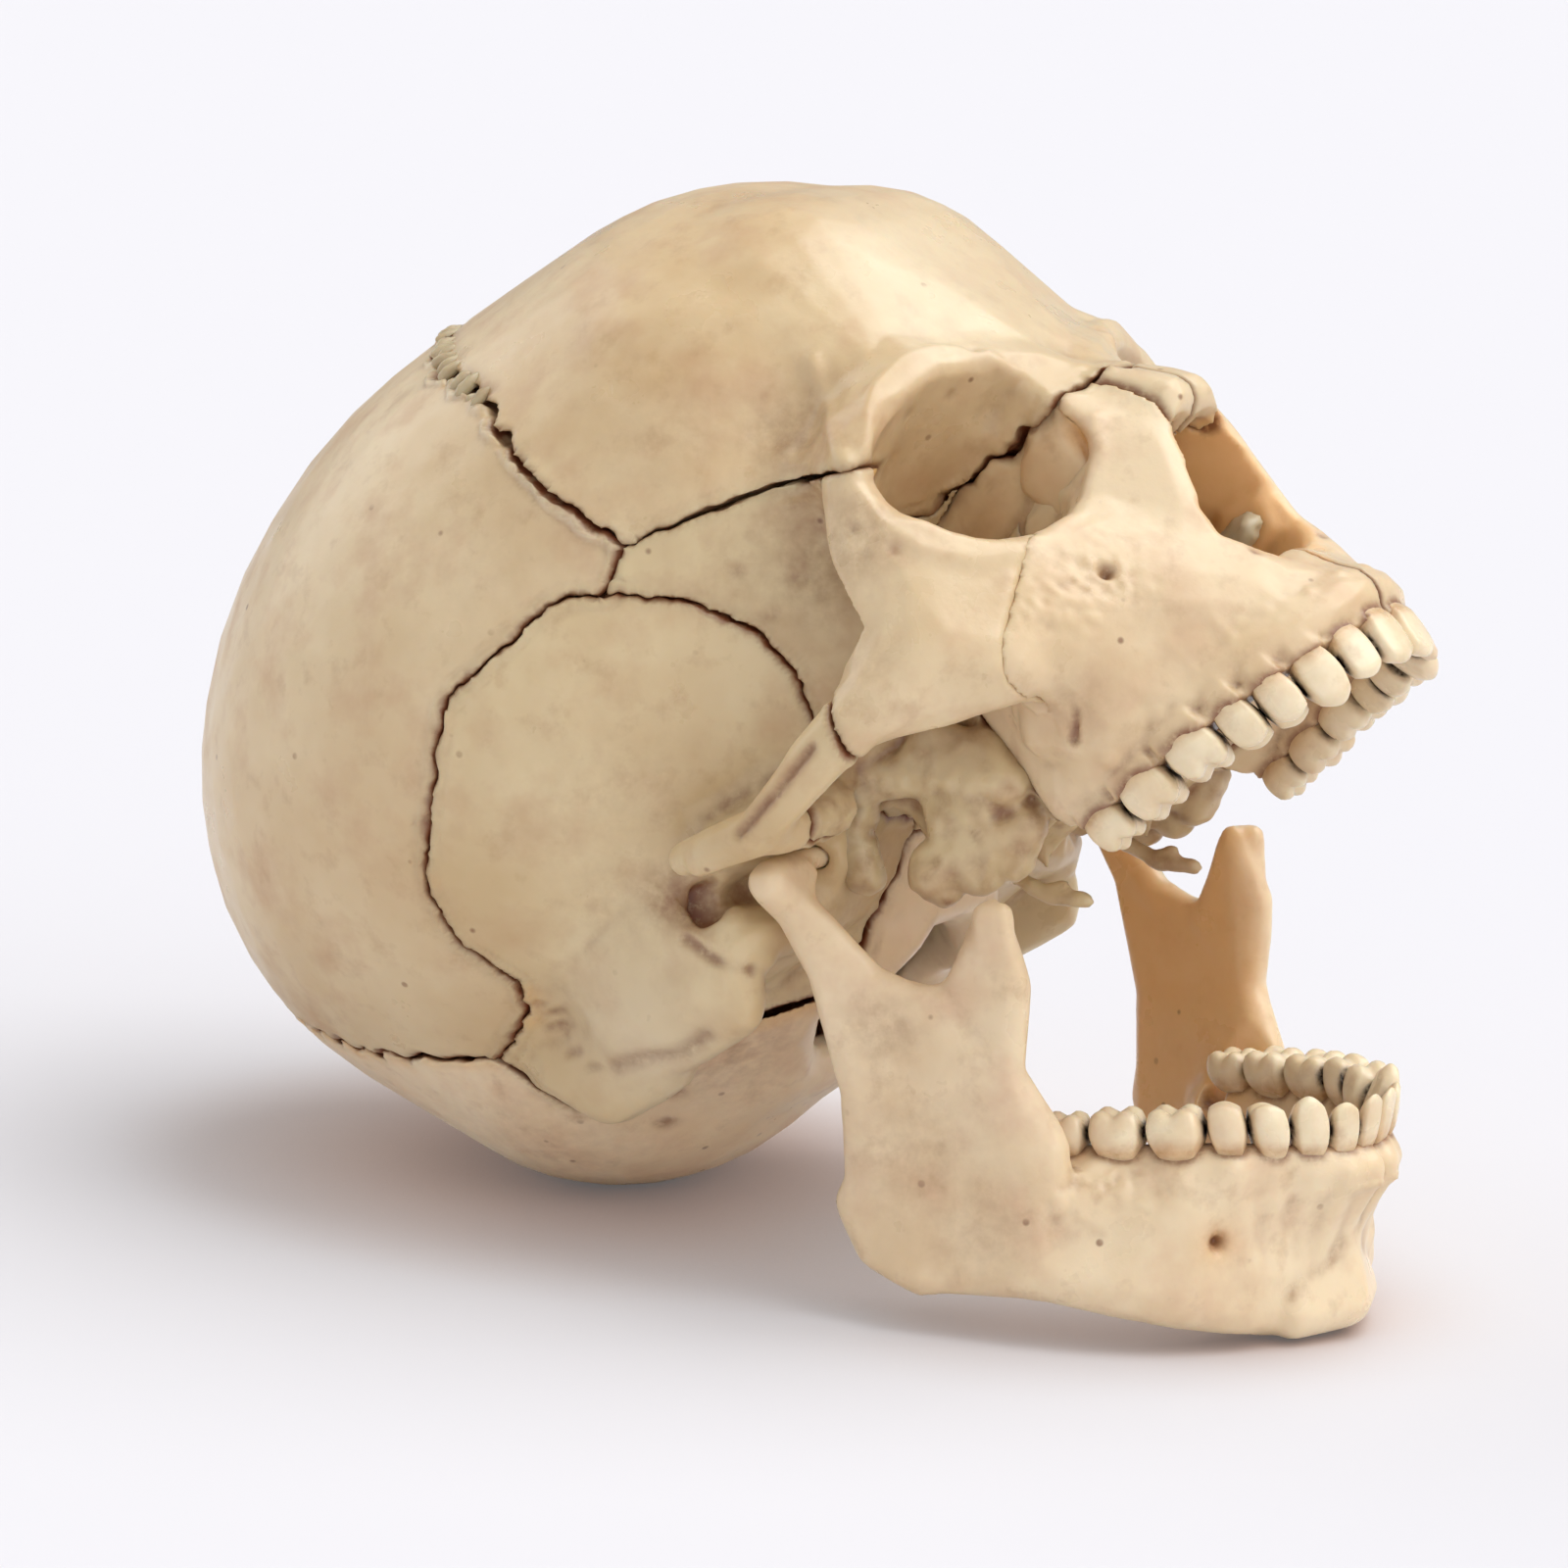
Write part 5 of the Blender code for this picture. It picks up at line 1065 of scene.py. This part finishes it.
# Vomer and conchae
# The lower half of the nose's dividing wall, and the scrolls on its side walls. The scrolls are
# greyer and crumpled.
vomer = worked("vomer", grain_mm=0.28, rounding_mm=0.6)
vomer.finish("vomer", "cranium", ("cda678", "b98a5c", "a77549"), amber_depth_mm=2.4)
for side_name, side in SIDES:
    node = "concha_" + side_name
    concha = worked(node, grain_mm=0.26, rounding_mm=0.5)
    concha.push += ripple(concha.points, 1.5, 3.0) * 0.28 * MM
    concha.finish(node, "cranium", ("b9ab8c", "a39474", "8f7c5e"))

# Palatines
# The small bones behind the last upper teeth, which close the back of the roof of the mouth and are
# fixed to the upper jaws.
for side_name, side in SIDES:
    node = "palatine_" + side_name
    palatine = worked(node, grain_mm=0.28, rounding_mm=0.6)
    palatine.meet(("maxilla_" + side_name, "sphenoid"), 0.16, 0.04)
    palatine.finish(node, "cranium", ("cdb48c", "b99871", "a67c5a"))

# Mandible and lower teeth
# The lower jaw, one strong moulding that hangs open on its pivots until the chin meets the table. Its
# crowns are modelled as a piece of their own, as the upper ones are.
JAW_OPEN_DEG = 37.281
JAW_CENTRE = Vector((0.12, 0.0, -0.04)) * SHARE
CUT_BOX = (0.60, 0.704, 0.40)  # length, breadth and height of the block that takes the crowns off
CUT_BEHIND = 0.035
CUT_BELOW = 0.056
jaw_turn = Matrix.Translation(JAW_CENTRE) @ Matrix.Rotation(math.radians(JAW_OPEN_DEG), 4, "Y")
jaw_place = cranium_place @ jaw_turn @ Matrix.Translation(-JAW_CENTRE)
LOWER = Row(
    arch=(
        (0.862, 0.000, -0.660), (0.855, 0.052, -0.660), (0.830, 0.103, -0.650), (0.790, 0.156, -0.635),
        (0.736, 0.206, -0.620), (0.660, 0.245, -0.610), (0.555, 0.275, -0.600), (0.440, 0.298, -0.590),
    ),
    widths=(0.085, 0.095, 0.115, 0.115, 0.115, 0.170, 0.165, 0.150),
    lean=(0.50, 0.48, 0.40, 0.16, -0.02, -0.10, -0.12, -0.12),
    rise_mm=4.1,
    upward=1,
    place=jaw_place,
)


def without_lower_crowns():
    """A copy of the lower jaw with its plain crowns cut off, clear of the branches behind them."""
    jaw = as_object("lower_jaw_blank", merged_copy("mandible"))
    front, rear = Vector(LOWER.arch[0]), Vector(LOWER.arch[-1])
    slope = math.atan2(front.z - rear.z, front.x - rear.x)
    reach, breadth, tall = CUT_BOX
    middle = Vector((rear.x - CUT_BEHIND + reach / 2, 0, 0))
    middle.z = rear.z - CUT_BELOW + (middle.x - rear.x) * math.tan(slope) + tall / 2
    bm = bmesh.new()
    shape = jaw_place @ Matrix.Translation(middle * SHARE) @ Matrix.Rotation(-slope, 4, "Y")
    shape = shape @ Matrix.Diagonal((reach * SHARE, breadth * SHARE, tall * SHARE, 1))
    bmesh.ops.create_cube(bm, size=1, matrix=shape)
    cutter = as_object("crown_cutter", bm)
    cut = jaw.modifiers.new("cut", "BOOLEAN")
    cut.operation = "DIFFERENCE"
    cut.solver = "MANIFOLD"
    cut.object = cutter
    apply_modifiers(jaw)
    bpy.data.objects.remove(cutter, do_unlink=True)
    bm = bmesh.new()
    bm.from_mesh(jaw.data)
    bpy.data.objects.remove(jaw, do_unlink=True)
    return bm


lower_crowns = []
for side_name, side in SIDES:
    lower_crowns.append(crown_row("lower_teeth_" + side_name, LOWER, side, "mandible", "jaw"))
blank = without_lower_crowns()
for side in (-1, 1):
    add_hulls(blank, roots(LOWER, 0.17, side, "mandible", both_sides=True))
    # the fuller chin, and the rounded tips of the branches' front horns
    add_hulls(blank, balls_of(side, (
        ((0.790, 0.000, -0.735, 0.045), (0.768, 0.000, -0.830, 0.045),
         (0.750, 0.090, -0.735, 0.045), (0.728, 0.090, -0.830, 0.045)),
        ((0.768, 0.000, -0.830, 0.045), (0.770, 0.000, -0.908, 0.050),
         (0.728, 0.090, -0.830, 0.045), (0.732, 0.100, -0.905, 0.048)),
        ((0.474, 0.420, -0.196, 0.020), (0.504, 0.417, -0.198, 0.020),
         (0.460, 0.425, -0.262, 0.012), (0.505, 0.415, -0.275, 0.012)),
    ), jaw_place))
mandible = Bone(rounded("mandible_bone", blank, grain_mm=0.33, rounding_mm=0.80), jaw_place)
foramen = (0.713, 0.260, -0.764)
mandible.dent(foramen, 0.65, 1.4, ink=1.0)
# a painted glow of light through the plastic rings the foramen
mandible.dent(foramen, 1.8, 0.2, wash=0.5, amber=0.5)
mandible.dent((0.780, 0.170, -0.765), 6.0, 1.3, squash=(1, 1, 0.75))
mandible.press()
# a ridge down over the root of each tooth but the rearmost two
for spot, outward, along, width in crown_places(LOWER)[:6]:
    neck = spot + outward * 0.02 + Vector((0, 0, -0.05))
    tip = spot - outward * 0.01 + Vector((0, 0, -0.20))
    mandible.edge_line((tuple(neck), tuple(tip)), 1.5, -0.50)
mandible.press()
# the slanting line, the flare of the angle and the stained dips of the branch
mandible.line(((0.55, -0.62), (0.62, -0.70), (0.70, -0.72)), 2.4, -0.25, reach=(0.2, 0.6))
angle = ((0.17, -0.62), (0.22, -0.72), (0.32, -0.775), (0.44, -0.79))
mandible.line(angle, 1.4, -0.30, reach=(0.2, 0.6))
mandible.dent((0.32, 0.48, -0.56), 6.0, 0.45, wash=0.30)
mandible.dent((0.30, 0.49, -0.36), 3.4, 0.35, wash=0.40)
mandible.dent((0.40, 0.46, -0.68), 5.0, 0.15, wash=0.30)
# rough skin where a muscle was fixed, below the rearmost teeth
away = (mandible.shares - (0.58, 0, -0.655)) / (0.10, 1, 0.045) * (1, 0, 1)
rough = np.exp(-(away**2).sum(1)) * (mandible.outward > 0.2)
mandible.push += ripple(mandible.points, 0.8) * rough * ROUGH_MM * MM
for crowns in lower_crowns:
    ink_round_crowns(mandible, crowns)
# painted glow: the inner faces of the branches are painted with light shining through them
inner = np.clip(-mandible.outward, 0, 1) * np.clip((0.56 - mandible.shares[:, 0]) / 0.12, 0, 1)
mandible.stain("amber", inner)
mandible.finish("mandible", "jaw", ("ecd6b2", "dcbf96", "d2a988"), amber_depth_mm=1.6, rough=(0.24, 0.42))
